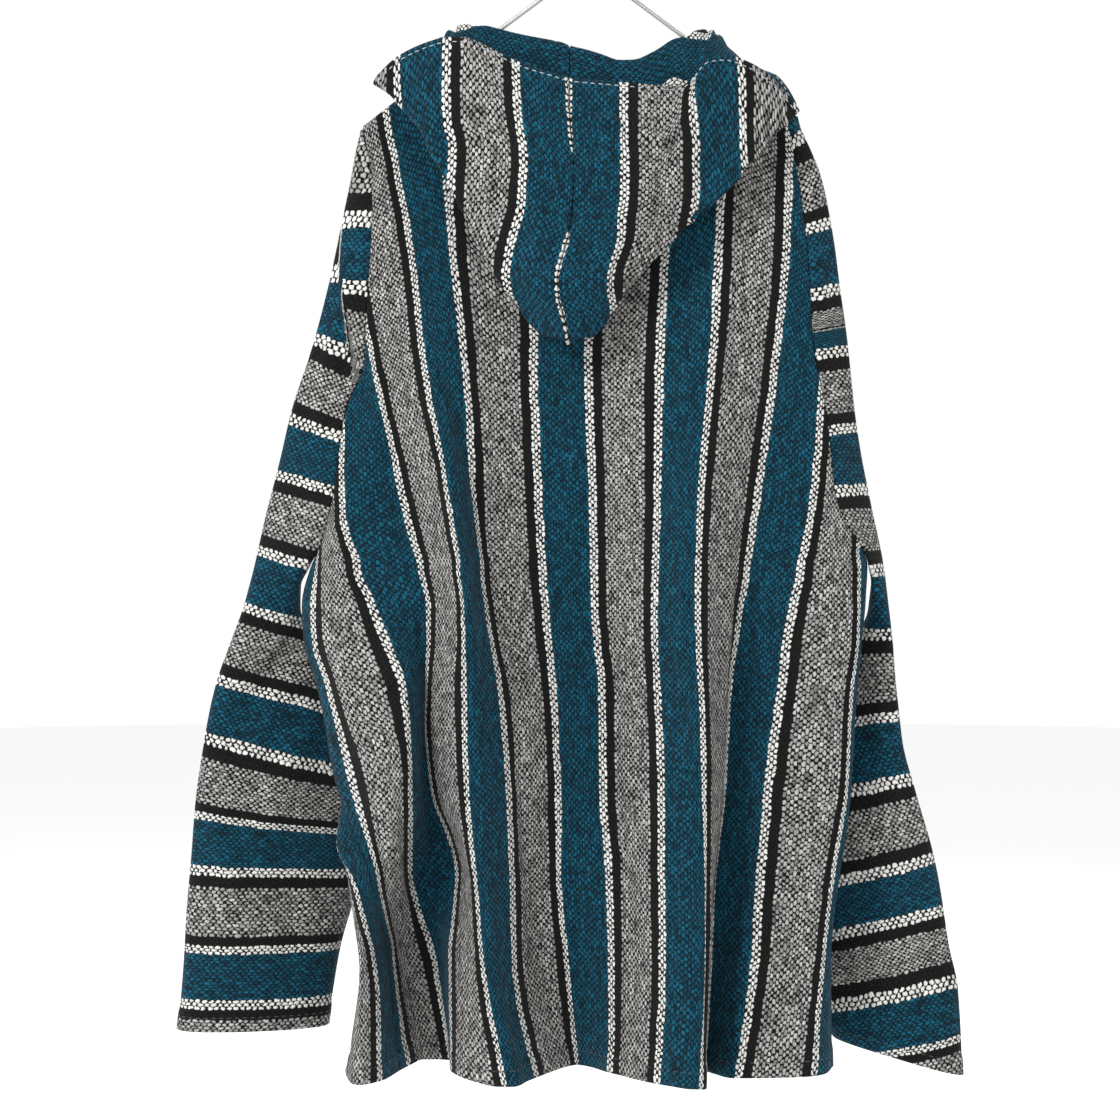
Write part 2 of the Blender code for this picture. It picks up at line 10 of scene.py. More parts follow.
import bpy
import numpy as np
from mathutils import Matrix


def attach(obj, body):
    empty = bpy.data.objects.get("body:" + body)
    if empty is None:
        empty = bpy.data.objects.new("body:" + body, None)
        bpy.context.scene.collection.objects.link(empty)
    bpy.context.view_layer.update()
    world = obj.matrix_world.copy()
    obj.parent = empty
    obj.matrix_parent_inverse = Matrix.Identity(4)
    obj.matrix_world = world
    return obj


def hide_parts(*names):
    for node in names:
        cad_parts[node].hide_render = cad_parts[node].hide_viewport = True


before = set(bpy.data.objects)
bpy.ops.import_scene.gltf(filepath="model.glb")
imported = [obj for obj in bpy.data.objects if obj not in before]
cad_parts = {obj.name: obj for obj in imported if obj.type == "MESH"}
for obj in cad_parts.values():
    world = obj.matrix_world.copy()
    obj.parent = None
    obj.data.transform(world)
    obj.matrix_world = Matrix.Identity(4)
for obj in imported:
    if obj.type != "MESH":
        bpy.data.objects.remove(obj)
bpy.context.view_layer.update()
print("nodes:", sorted(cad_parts))
MM = 0.001

# %% [markdown]
# ## The camera
# The camera stands 1.8 metres behind the garment, at the height of its middle and a little left
# of the hook, and looks straight at its back, as the photograph's seems to.


# %% The camera
def add_object(name, data):
    """A new object in the scene, active and selected on its own."""
    made = bpy.data.objects.new(name, data)
    bpy.context.scene.collection.objects.link(made)
    bpy.ops.object.select_all(action="DESELECT")
    bpy.context.view_layer.objects.active = made
    made.select_set(True)
    return made


VIEW_ANGLE = 28.05  # degrees
CAMERA_PLACE = (-0.0218, -1.80, -0.540)

lens = bpy.data.cameras.new("studio_camera")
lens.angle = math.radians(VIEW_ANGLE)
camera = add_object("studio_camera", lens)
camera.location = CAMERA_PLACE
camera.rotation_euler = (math.radians(90), 0, 0)
bpy.context.scene.camera = camera
print("camera at", tuple(round(v, 3) for v in camera.location))

# %% [markdown]
# ## The floor and the light
# A pale floor, the bright surroundings of a white studio and three large lamps, so that the folds
# get soft shadows. The strongest stands to the camera's left and gives the folds a light and a
# dark side. A weak one to its right fills the shadows, and one lights the garment's far side.


# %% The floor
def new_finish(name):
    """A material, and the sockets of its shader."""
    finish = bpy.data.materials.new(name)
    finish.use_nodes = True
    return finish, finish.node_tree.nodes["Principled BSDF"].inputs


def plain_finish(name, colour, roughness, sheen=0.0):
    finish, shader = new_finish(name)
    shader["Base Color"].default_value = (*colour, 1)
    shader["Roughness"].default_value = roughness
    shader["Sheen Weight"].default_value = sheen
    return finish


FLOOR_DROP = 1.32  # metres below the hook
FLOOR_RADIUS = 9
bpy.ops.mesh.primitive_circle_add(
    vertices=96, radius=FLOOR_RADIUS, fill_type="NGON", location=(0, 0, -FLOOR_DROP)
)
floor = bpy.context.active_object
floor.name = "studio_floor"
floor.data.materials.append(plain_finish("pale_floor", (0.92, 0.92, 0.92), 0.9))
print("floor", FLOOR_DROP, "m below the hook")


# %% The lamps and the surroundings
def lamp(name, place, aim, size, power):
    light = bpy.data.lights.new(name, "AREA")
    light.shape = "DISK"
    light.size = size
    light.energy = power
    stand = add_object(name, light)
    stand.location = place
    way = np.array(aim) - np.array(place)
    flat = math.hypot(way[0], way[1])
    stand.rotation_euler = (math.atan2(flat, -way[2]), 0, math.atan2(-way[0], way[1]))


MIDDLE = (0, 0, -0.5)
lamp("key_lamp", (-1.9, -2.3, 1.1), MIDDLE, 1.1, 80)
lamp("fill_lamp", (2.2, -2.4, 0.2), MIDDLE, 1.6, 8)
lamp("back_lamp", (1.2, 2.6, 1.2), MIDDLE, 1.6, 30)
room = bpy.data.worlds.new("white_room")
room.use_nodes = True
walls = room.node_tree.nodes["Background"].inputs
walls["Color"].default_value = (1, 1, 1, 1)
walls["Strength"].default_value = 1.0
bpy.context.scene.world = room
bpy.context.scene.view_settings.view_transform = "Standard"

# %% [markdown]
# ## The garment's sizes
# A baja hoodie is cut from straight lengths of cloth: a back and a front, two sleeves and the two
# halves of the hood. The tables give the form that each has as it hangs: a row for each level and
# a column for each line that runs down the cloth. The solids were made from the same sizes, so the
# cloth lies where its solid does, apart from its creases and its closer seams.

# A place on the body is s, the way round it from the middle of the back towards the photo's
# right, and its drop below the inside of the hook.

# %% Sizes of the body
CLOTH = 2.5  # wall of the cloth
SEAM_GAP = 0.3  # between two pieces that are sewn together
WIRE = 3.8  # diameter of the hanger's wire

BACK_LEFT, BACK_RIGHT = -300.0, 315.0  # side seams, in s
GIRTH = 1230.0  # the whole way round the body: twelve repeats of the stripe
NECK_LEFT, NECK_RIGHT = -106.0, 104.0  # sides of the neck, in x
HEM_DROP = 941.0
SHOULDER_DROP = 186.0  # where the shoulder seams reach the armholes
NAPE_DROP = 180.0
FRONT_NECK_DROP = 196.0
print("round the body", GIRTH, "mm; from the shoulder to the hem", HEM_DROP - SHOULDER_DROP, "mm")

# %% Levels of the back
# Each row is a level of the back, and each column a line down the cloth at that s.
BACK_LINES = (-300, -256, -223, -187, -121, -84, -18, 18, 84, 121, 187, 223, 289, 315)
BACK_ACROSS = {  # drop: x of each line
    186: (-310, -262, -234, -201, -158, -119, -37, 2, 70, 106, 166, 203, 262, 285),
    298: (-276, -241, -219, -190, -137, -110, -37, 0, 65, 101, 162, 194, 246, 267),
    378: (-247, -218, -195, -173, -128, -101, -39, -3, 61, 96, 154, 187, 238, 257),
    500: (-216, -208, -192, -148, -106, -90, -35, 1, 58, 85, 137, 176, 219, 231),
    588: (-228, -195, -161, -127, -95, -81, -30, 3, 56, 83, 123, 157, 218, 221),
    652: (-212, -176, -139, -129, -94, -70, -24, 9, 59, 87, 115, 149, 211, 215),
    716: (-199, -153, -137, -125, -92, -65, -22, 9, 61, 89, 112, 140, 207, 210),
    790: (-166, -153, -139, -105, -85, -62, -21, 14, 60, 91, 103, 133, 195, 201),
    852: (-159, -147, -122, -109, -79, -61, -15, 16, 60, 90, 98, 127, 187, 194),
    941: (-150, -129, -108, -106, -61, -43, -6, 16, 56, 84, 93, 113, 178, 193),
}
BACK_DEPTH = {  # drop: y of each line
    186: (-6, -6, -7, -7, -8, -8, -9, -9, -8, -8, -7, -7, -6, -6),
    298: (-4, -6, -8, -10, -16, -14, -10, -10, -12, -14, -10, -8, -6, -4),
    378: (-2, -4, -6, -8, -30, -22, -6, -5, -24, -30, -8, -6, -3, -2),
    500: (-2, -10, -14, -10, -52, -26, -4, -2, -34, -52, -14, -13, -6, -1),
    588: (-5, -40, -38, -28, -70, -38, -6, 0, -38, -60, -14, -16, -16, 0),
    652: (-12, -58, -56, -24, -62, -36, -4, 5, -36, -57, -2, -14, -18, 0),
    716: (-25, -74, -60, -24, -68, -42, -6, 3, -40, -60, -4, -22, -24, -2),
    790: (-80, -52, -22, -15, -80, -52, -10, -22, -58, -74, -8, -26, -32, -4),
    852: (-22, -5, -8, -30, -88, -60, -14, -30, -72, -90, -28, -46, -40, -8),
    941: (-42, 3, -2, -35, -95, -66, -18, -44, -86, -104, -40, -66, -58, -22),
}
print("levels of the back:", len(BACK_ACROSS), "with", len(BACK_LINES), "lines")

# %% Levels of the front
# The same for the front, from the right side seam round to the left one.
FRONT_LINES = (315, 345, 400, 480, 560, 640, 720, 790, 830, 855, 885, 905, 930)
FRONT_ACROSS = {
    186: (251, 235, 207, 139, 54, -26, -106, -182, -215, -231, -251, -263, -279),
    378: (251, 235, 195, 127, 54, -22, -96, -154, -189, -203, -216, -227, -239),
    500: (231, 224, 188, 127, 60, -11, -82, -141, -174, -190, -203, -210, -216),
    588: (221, 217, 183, 127, 65, -2, -70, -130, -162, -181, -203, -216, -228),
    716: (211, 208, 179, 122, 64, 5, -52, -108, -140, -158, -179, -193, -199),
    752: (206, 203, 177, 120, 62, 0, -58, -117, -152, -171, -190, -197, -182),
    790: (201, 197, 174, 117, 58, -5, -68, -132, -167, -182, -184, -176, -166),
    852: (194, 192, 169, 109, 48, -16, -80, -140, -167, -176, -176, -166, -159),
    900: (193, 192, 168, 104, 40, -27, -96, -158, -178, -181, -170, -160, -153),
    941: (193, 193, 168, 100, 34, -36, -112, -176, -189, -184, -172, -160, -150),
}
FRONT_DEPTH = {
    186: (6, 7, 8, 8, 9, 9, 8, 8, 7, 7, 7, 6, 6),
    378: (-2, 4, 9, 17, 14, 24, 14, 14, 9, 7, 5, 3, -2),
    500: (-1, 7, 12, 32, 18, 38, 18, 23, 12, 8, 5, 2, -2),
    588: (0, 9, 12, 42, 20, 48, 18, 30, 14, 9, 5, 1, -5),
    716: (-2, 9, 13, 47, 20, 53, 20, 34, 13, 3, -7, -16, -25),
    752: (-3, 9, 13, 49, 19, 55, 20, 28, 3, -12, -28, -43, -54),
    790: (-4, 9, 13, 50, 18, 57, 20, 20, -18, -44, -74, -88, -80),
    852: (-8, 8, 14, 52, 17, 56, 22, 18, -16, -40, -68, -52, -22),
    900: (-14, 4, 13, 53, 16, 55, 24, 6, -34, -60, -84, -62, -30),
    941: (-22, 0, 12, 53, 16, 53, 25, 0, -40, -65, -90, -72, -42),
}
print("levels of the front:", len(FRONT_ACROSS), "with", len(FRONT_LINES), "lines")

# %% Armholes and sleeves
# How the armholes are cut: at each drop, the s of the back panel's left and right edge.
ARMHOLE = {
    186: (-156, 180),
    230: (-153, 190),
    298: (-166, 203),
    378: (-193, 218),
    420: (-222, 232),
    490: (-240, 252),
    515: (-262, 272),
    545: (-300, 315),
}

# The sleeves hang beside the body. At each drop: x and y of the outer fold.
SLEEVE_OUTER_LEFT = {
    190: (-181, -1),
    236: (-189, 0),
    298: (-201, 1),
    360: (-217, 3),
    420: (-236, 5),
    488: (-254, 8),
    576: (-275, 10),
    636: (-297, 12),
    700: (-311, 14),
    766: (-319, 16),
    822: (-323, 18),
    872: (-326, 20),
    920: (-331, 22),
}
SLEEVE_OUTER_RIGHT = {
    180: (164, 1),
    226: (184, 1),
    290: (198, 2),
    352: (207, 4),
    412: (213, 8),
    464: (223, 12),
    546: (239, 15),
    614: (248, 18),
    674: (253, 20),
    730: (267, 20),
    788: (283, 21),
    838: (290, 22),
    894: (302, 24),
    958: (304, 25),
}
# Below the underarm: x and y of the inner fold, how far the wall swells from the line between
# the folds towards the back and towards the front.
SLEEVE_INNER_LEFT = {
    545: (-223, 0, 7, 9),
    560: (-232, 4, 9, 14),
    578: (-233, 14, 11, 17),
    602: (-226, 28, 13, 19),
    640: (-206, 42, 16, 20),
    690: (-182, 50, 18, 20),
    735: (-174, 54, 19, 20),
    775: (-180, 54, 20, 20),
    812: (-190, 52, 21, 21),
    842: (-200, 48, 22, 22),
    884: (-208, 44, 23, 23),
    920: (-213, 40, 24, 24),
}
SLEEVE_INNER_RIGHT = {
    545: (225, 0, 5, 6),
    560: (230, 5, 7, 11),
    578: (230, 17, 9, 14),
    602: (223, 31, 11, 16),
    640: (201, 44, 13, 18),
    690: (175, 50, 16, 19),
    740: (158, 54, 18, 19),
    780: (150, 55, 19, 19),
    810: (152, 55, 19, 19),
    845: (160, 53, 20, 20),
    875: (172, 50, 21, 21),
    905: (187, 46, 22, 22),
    930: (204, 43, 22, 22),
}
print("the underarms are", min(SLEEVE_INNER_LEFT), "mm below the hook")

# %% Sections of the hood
# Each row is a section of one half of the hood, at its distance from the crown's corner along
# the crown seam: the outer fold that the pouch hangs by and the crest above the neck.
CROWN_SEAM = {  # along: x, y, drop
    0: (-14, -42, 372),
    15: (-17, -56, 357),
    45: (-24, -63, 327),
    90: (-14, -65, 282),
    135: (-11, -65, 238),
    175: (-14, -63, 198),
    207: (-15, -59, 166),
}
HOOD_LEFT = {  # along: fold x, y, drop, rise x, y, drop, crest x, y, drop
    0: (-14, -36, 366, -14, -26, 250, -14, -15, 131),
    5: (-37, -40, 363, -26, -27, 245, -19, -15, 129),
    15: (-52, -44, 346, -38, -28, 240, -28, -16, 127),
    45: (-70, -48, 322, -66, -30, 220, -55, -16, 122),
    90: (-97, -46, 271, -96, -30, 190, -90, -14, 113),
    135: (-116, -46, 225, -120, -28, 170, -112, 4, 116),
    175: (-141, -42, 190, -140, -22, 158, -122, 13, 138),
    207: (-169, -30, 163, -152, -8, 151, -130, 20, 160),
}
HOOD_RIGHT = {
    0: (-14, -36, 366, -14, -26, 250, -14, -15, 131),
    5: (5, -40, 365, -4, -27, 245, -8, -15, 133),
    15: (16, -44, 350, 6, -28, 240, 3, -16, 136),
    45: (35, -48, 322, 36, -30, 225, 33, -16, 143),
    90: (76, -46, 282, 78, -30, 200, 80, -13, 120),
    135: (110, -46, 250, 108, -34, 166, 102, 5, 114),
    175: (138, -42, 216, 130, -28, 156, 108, 13, 130),
    207: (167, -32, 186, 148, -8, 153, 122, 20, 146),
}
# How the hood's face edge leaves the straight line from seam to fold: share of it, lift.
RIM_LEFT = ((0.25, 12), (0.58, 33), (0.85, 21))
RIM_RIGHT = ((0.48, 4), (0.64, 34), (0.80, 30))
RIM_FADE = 3.0  # how soon the lift fades below the edge
# How far the cloth stands off the straight way from crest to neck, where it stands in front.
HOOD_STAND = {  # along: towards the middle, y, drop
    0: (0, 0, 0),
    107: (0, 0, 0),
    135: (10, 4, 0),
    175: (20, 6, -8),
    207: (31, 4, -7),
}
HOOD_DEPTH = 207.0
HOOD_SIDE = 107.0  # where the hood's neck edge passes the side of the neck
HOOD_FRONT = 0.46  # where it ends, as a share of the front's neckline
HOOD_SWELL = 6.0  # how far the pouch's outer wall swells between seam and fold
HOOD_CLOSER = 1.4  # how much closer the sections lie towards the crown's corner
HOOD_OVER = 7.0  # half of what the hood's neck edge takes to pass over the hanger's arm
print("sections of the hood:", len(HOOD_LEFT), "and", len(HOOD_RIGHT))

# %% The hanger, the shoulders and the rows of the grids
HANGER_HALF = 158.0
HANGER_JUNCTION = 62.0  # drop of the point where the arms meet
HANGER_END = 180.0  # drop of the arms' ends
HANGER_BAR = 190.5  # drop of the bottom bar
HANGER_BEND = 7.0  # radius of the bends at the ends
HOOK_RADIUS = 18.0  # inside
OVER_WIRE = 4.5  # from the wire's middle up to the middle of the cloth on it

SHOULDER_ROLL = 6.0  # radius of the cloth where it turns over the arms
SHOULDER_APART = 0.55  # from the shoulder seam's line to the middle of either panel's edge
NECK_ROLL, NECK_EASE = 0.35, 16.0  # the roll's share at the side of the neck, and its change
UNDERARM_DROP = 545.0
# Rows of the panels: above the underarm as a share of that height, then below it.
UPPER_ROWS = (
    0, 0.0033, 0.014, 0.06, 0.14, 0.24, 0.34, 0.44, 0.54, 0.64, 0.74, 0.83, 0.9, 0.955, 1
)
LOWER_ROWS = 13
BACK_COLUMNS, FRONT_COLUMNS = 34, 24
# Rows of a sleeve below the underarm, as a share of the way to the cuff.
SLEEVE_LOWER = (0.04, 0.09, 0.155, 0.24, 0.34, 0.44, 0.54, 0.64, 0.74, 0.83, 0.92, 1)
SLEEVE_COLUMNS = 24
SLEEVE_TOP = 2  # the sleeve's first row follows the panels' edges down to this row of theirs
SLEEVE_EASE = 1.2  # extra room at the armhole's seam
SEWN = 0.55  # sewn edges touch, so they stand off their seam by less than the solids' edges do
TOP_EASE = 2.4  # how much further the top of the sleeve stands off at the shoulder
SIDE_DRAW = (1, 0.75, 0.4, 0.12)  # how the front's edge is drawn to the back's at the side
HOOD_ROWS, HOOD_COLUMNS = 15, 26
print("the hanger's span is", 2 * HANGER_HALF, "mm between the middles of its wire")

# %% [markdown]
# ## Curves through the tables
# A smooth curve through a table's rows gives the values between them. It never goes past a row's
# value, so a fold stays where its row has it.

# %% Curves through tables
def slopes(keys, values):
    """Slope at each row of a table, so that a curve through the rows never overshoots."""
    gap = np.diff(keys)[:, None]
    rise = np.diff(values, axis=0) / gap
    before, after = rise[:-1], rise[1:]
    near, far = 2 * gap[1:] + gap[:-1], gap[1:] + 2 * gap[:-1]
    same_way = before * after > 0
    before = np.where(same_way, before, 1)
    after = np.where(same_way, after, 1)
    inner = np.where(same_way, (near + far) / (near / before + far / after), 0)
    return np.vstack([rise[:1], inner, rise[-1:]])


def row_before(keys, at):
    """The number of the row that each place lies on or after."""
    return np.clip(np.searchsorted(keys, at, side="right") - 1, 0, len(keys) - 2)


def between_rows(t, gap, value, slope, next_value, next_slope):
    """The curve between two rows that are gap apart, at the share t of the way."""
    return (
        (2 * t**3 - 3 * t**2 + 1) * value
        + (t**3 - 2 * t**2 + t) * gap * slope
        + (3 * t**2 - 2 * t**3) * next_value
        + (t**3 - t**2) * gap * next_slope
    )


def smooth(keys, values, at):
    """Rows of values at the places asked for, on a smooth curve through a table's rows."""
    keys = np.asarray(keys, float)
    values = np.asarray(values, float).reshape(len(keys), -1)
    at = np.atleast_1d(np.asarray(at, float))
    row = row_before(keys, at)
    gap = np.diff(keys)[row][:, None]
    t = np.clip((at - keys[row])[:, None] / gap, 0, 1)
    slope = slopes(keys, values)
    return between_rows(t, gap, values[row], slope[row], values[row + 1], slope[row + 1])


def column(table, at):
    """The columns of a table kept as {key: row}, at one or many keys."""
    return smooth(list(table), list(table.values()), at)


def on_body(levels, lines, drop, s):
    """A value of the body's table at many pairs of drop and s."""
    keys = np.array(list(levels), float)
    rows = np.stack([smooth(lines, row, s)[:, 0] for row in levels.values()])
    slope = slopes(keys, rows)
    row = row_before(keys, drop)
    gap = np.diff(keys)[row]
    t = np.clip((drop - keys[row]) / gap, 0, 1)
    here, below = (row, np.arange(len(s))), (row + 1, np.arange(len(s)))
    return between_rows(t, gap, rows[here], slope[here], rows[below], slope[below])


def unit(vectors):
    return vectors / np.maximum(np.linalg.norm(vectors, axis=-1, keepdims=True), 1e-6)


def way_along(points):
    """How far each point lies along a line of points."""
    return np.concatenate([[0], np.cumsum(np.linalg.norm(np.diff(points, axis=0), axis=1))])


def way_across(grid):
    """How far each point of a grid lies along its row."""
    step = np.linalg.norm(np.diff(grid, axis=1), axis=2)
    return np.concatenate([np.zeros((len(grid), 1)), np.cumsum(step, axis=1)], axis=1)


print("left sleeve's outer fold at 500 mm:", column(SLEEVE_OUTER_LEFT, 500).round(1))

# %% [markdown]
# ## The panels
# The top edge of the back and of the front follows the hanger's arms at the shoulders, where the
# cloth turns over the wire, and dips between the sides of the neck. Below it the cloth follows
# its levels down to the hem.


# %% The panels
def wire_drop(x):
    """Drop of the wire's middle along the hanger's arms."""
    return HANGER_JUNCTION + (HANGER_END - HANGER_JUNCTION) * np.abs(x) / HANGER_HALF


def panel_edges(drop, front):
    """s of a panel's left and right edge as one looks at the back."""
    left, right = column(ARMHOLE, drop).T
    if front:
        return 2 * BACK_LEFT - left + GIRTH, 2 * BACK_RIGHT - right
    return left, right


def panel_s(share, drop, front):
    left, right = panel_edges(drop, front)
    return left + (right - left) * share


def panel_surface(drop, s, front):
    levels = (FRONT_ACROSS, FRONT_DEPTH) if front else (BACK_ACROSS, BACK_DEPTH)
    lines = FRONT_LINES if front else BACK_LINES
    return [on_body(table, lines, drop, s) for table in levels]


def shoulder_x(share, front):
    """x of a panel at the level of the shoulders, at each share of its width."""
    level = np.full(len(share), SHOULDER_DROP)
    return panel_surface(level, panel_s(share, level, front), front)[0]


def neckline_shares(front):
    """The sides of the neck, as shares of a panel's width."""
    share = np.linspace(0, 1, 200)
    return np.interp([NECK_LEFT, NECK_RIGHT], shoulder_x(share, front), share)


def top_edge(share, front):
    """Drop of a panel's top edge, and how much of the shoulder's roll it has there."""
    share = np.asarray(share, float)
    x = shoulder_x(share, front)
    shoulder = wire_drop(x) - OVER_WIRE
    start, end = neckline_shares(front)
    way = np.clip((share - start) / (end - start), 0, 1)
    sides = wire_drop(np.array([NECK_LEFT, NECK_RIGHT])) - OVER_WIRE
    base = sides[0] + (sides[1] - sides[0]) * way
    dip = 1 - np.abs(2 * way - 1) ** (1.5 if front else 2.4)
    lowest = FRONT_NECK_DROP if front else NAPE_DROP
    neck = base + (lowest - base) * dip
    in_neck = (share > start) & (share < end)
    past_neck = np.maximum(NECK_LEFT - x, x - NECK_RIGHT)
    return np.where(in_neck, neck, shoulder), np.clip(NECK_ROLL + past_neck / NECK_EASE, 0, 1)


def line_s(share, upper, front):
    """s of the lines down a panel, at a share of the way from its top to the underarm."""
    ends, _ = top_edge([0.0, 1.0], front)
    edge_top = ends[0] + (ends[1] - ends[0]) * share
    return panel_s(share, edge_top + (UNDERARM_DROP - edge_top) * upper, front)


def panel_points(share, upper, lower, front):
    """Points of a panel at a share of its width. upper and lower say how far down it is."""
    top, roll = top_edge(share, front)
    drop = top + (UNDERARM_DROP - top) * upper + (HEM_DROP - UNDERARM_DROP) * lower
    x, y = panel_surface(drop, line_s(share, upper, front), front)
    down = np.clip((drop - top) / SHOULDER_ROLL, 0, 1)
    at_seam = SHOULDER_APART if front else -SHOULDER_APART
    rolled = at_seam + (y - at_seam) * np.sqrt(1 - (1 - down) ** 2)
    y = y + (rolled - y) * roll
    return np.stack([x, y, -drop], axis=-1)


def panel_grid(front):
    """A panel's points and the s of each, in even columns with one at each side of the neck."""
    share = np.linspace(0, 1, FRONT_COLUMNS if front else BACK_COLUMNS)
    for side in neckline_shares(front):
        share[np.argmin(np.abs(share - side))] = side
    levels = [(a, 0.0) for a in UPPER_ROWS]
    levels += [(1.0, (k + 1) / LOWER_ROWS) for k in range(LOWER_ROWS)]
    points = np.stack([panel_points(share, a, b, front) for a, b in levels])
    return points, np.stack([line_s(share, a, front) for a, _ in levels])


back, back_s = panel_grid(False)
front, front_s = panel_grid(True)
print("back", back.shape, "front", front.shape)

# %% [markdown]
# ## The seams and the sleeves
# Two pieces that are sewn together stand off their seam by half of their walls, so that they
# meet there without cutting into each other. A sleeve starts along the armhole and closes to a
# tube below the underarm, with one fold outside and one beside the body.


# %% The seams and the sleeves
def stand_off(edge, into_a, into_b, ease=1.0):
    """How far the edge of piece a stands off a seam shared with b, so that their walls clear."""
    along = unit(np.gradient(edge, axis=0))
    a = into_a - edge
    b = into_b - edge
    a = unit(a - along * (a * along).sum(axis=1, keepdims=True))
    b = unit(b - along * (b * along).sum(axis=1, keepdims=True))
    lean = np.linalg.norm(a + b, axis=1, keepdims=True) / 2
    return unit(a - b) * (SEAM_GAP / 2 + CLOTH / 2 * lean) * ease * SEWN


def side_seam(back, front, edge, inner):
    """Closes the front's edge up to the back's below the underarm, and parts their walls."""
    first = len(UPPER_ROWS) - 1
    short = back[first:, edge] - front[first:, edge]
    step = 1 if inner > edge else -1
    for k, share in enumerate(SIDE_DRAW):
        front[first:, edge + step * k] += short * share
    seam = back[first:, edge].copy()
    off = stand_off(seam, back[first:, inner], front[first:, inner], ease=1.15)
    back[first:, edge] += off
    front[first:, edge] -= off


def polyline(points, count):
    """Evenly spaced points along a line of points."""
    way = way_along(points)
    at = np.linspace(0, way[-1], count)
    return np.stack([np.interp(at, way, points[:, k]) for k in range(3)], axis=1)


def sleeve_row(back_edge, front_edge, outer, swells, opened=0.0):
    """From the back's edge out to the outer fold and round to the front's edge. Where the row
    is opened it leaves the edges straight outwards, and otherwise it turns round a fold."""
    turn = np.linspace(0, 1, SLEEVE_COLUMNS)[:, None]
    out = (1 - opened) * (1 - np.cos(2 * np.pi * turn)) / 2 + opened * np.sin(np.pi * turn)
    near = turn < 0.5
    start = np.where(near, back_edge, front_edge)
    swell = np.abs(np.sin(2 * np.pi * turn)) ** 0.8 * np.where(near, -swells[0], swells[1])
    return start + (outer - start) * out + swell * (0, 1, 0)


def sleeve_grid(edge, inner, outer_line, inner_line):
    """Rows down the sleeve: open at the armhole, and closed below the underarm. It also moves
    the panels' edges at the armhole off the seam."""
    last = len(UPPER_ROWS) - 1
    arc = np.vstack([back[SLEEVE_TOP::-1, edge], front[:SLEEVE_TOP + 1, edge]])
    rows = [polyline(arc, SLEEVE_COLUMNS)]
    start, end = list(inner_line)[0], list(inner_line)[-1]
    cuff = list(outer_line)[-1]
    full = column(inner_line, start)[0, 2:]
    for k in range(SLEEVE_TOP + 1, last + 1):
        ends = [back[k, edge], front[k, edge]]
        if k == last:
            ends = [(ends[0] + ends[1]) / 2] * 2
        drop = -(ends[0][2] + ends[1][2]) / 2
        x, y = column(outer_line, drop)[0]
        share = (k - SLEEVE_TOP) / (last - SLEEVE_TOP)
        outer = np.array([x, y, -drop])
        rows.append(sleeve_row(*ends, outer, full * (0.6 + 0.4 * share), 1 - share**6))
    for share in SLEEVE_LOWER:
        drop = start + (end - start) * share
        x, y, *swells = column(inner_line, drop)[0]
        fold = np.array([x, y, -drop])
        drop = start + (cuff - start) * share
        x, y = column(outer_line, drop)[0]
        rows.append(sleeve_row(fold, fold, np.array([x, y, -drop]), swells))
    grid = np.array(rows)
    for panel, side, beside in ((back, 0, 1), (front, -1, -2)):
        seam = panel[:last + 1, edge].copy()
        into = grid[1:last + 2 - SLEEVE_TOP, beside] - seam[SLEEVE_TOP:]
        into = np.vstack([np.repeat(into[:1], SLEEVE_TOP, axis=0), into])
        ease = SLEEVE_EASE + 1.4 * np.linspace(0, 1, last + 1)[:, None] ** 4
        off = stand_off(seam, panel[:last + 1, inner], seam + into, ease)
        off[last, 1] = 0
        panel[:last + 1, edge] += off
        for k, share in enumerate(SIDE_DRAW):
            near_seam = side + (beside - side) * k
            grid[1:last + 1 - SLEEVE_TOP, near_seam] -= off[SLEEVE_TOP + 1:] * share
        grid[0] -= off[0] * TOP_EASE
    grid[last - SLEEVE_TOP, -1] = grid[last - SLEEVE_TOP, 0]
    return grid


print("sewn edges stand off a flat seam by", (SEAM_GAP / 2 + CLOTH / 2) * SEWN, "mm")

# %% [markdown]
# ## The hood's halves
# Each half runs from the crown seam round the fold that the pouch hangs by, over the crest and
# down to the neckline, where it is sewn to the back and to a part of the front.


# %% The hood's halves
def hood_levels():
    """How far each row of the hood lies from the crown's corner, with one on each side of the
    hanger's arm."""
    levels = HOOD_DEPTH * np.linspace(0, 1, HOOD_ROWS) ** HOOD_CLOSER
    beside = np.sort(np.argsort(np.abs(levels - HOOD_SIDE))[:2])
    levels[beside] = HOOD_SIDE - HOOD_OVER, HOOD_SIDE + HOOD_OVER
    return levels


def neck_point(along, left):
    """Where the hood's neck edge meets the panels, from the nape round to the front."""
    way = max(0.5 - 0.5 * along / (HOOD_SIDE - HOOD_OVER), 0)
    past = HOOD_SIDE + HOOD_OVER
    if along > past:
        way = HOOD_FRONT * (along - past) / (HOOD_DEPTH - past)
    x = NECK_LEFT + (NECK_RIGHT - NECK_LEFT) * (way if left else 1 - way)
    tops = back[0], front[0]
    edges = [[np.interp(x, top[:, 0], top[:, k]) for k in (1, 2)] for top in tops]
    if abs(along - HOOD_SIDE) < HOOD_OVER + 1:
        y = math.copysign(HOOD_OVER - 1.5, along - HOOD_SIDE)
        z = edges[0][1] + 2.4 * CLOTH
    else:
        y, z = edges[1 if along > HOOD_SIDE else 0]
    return np.array([x, y, z + SEAM_GAP + CLOTH * 0.4])


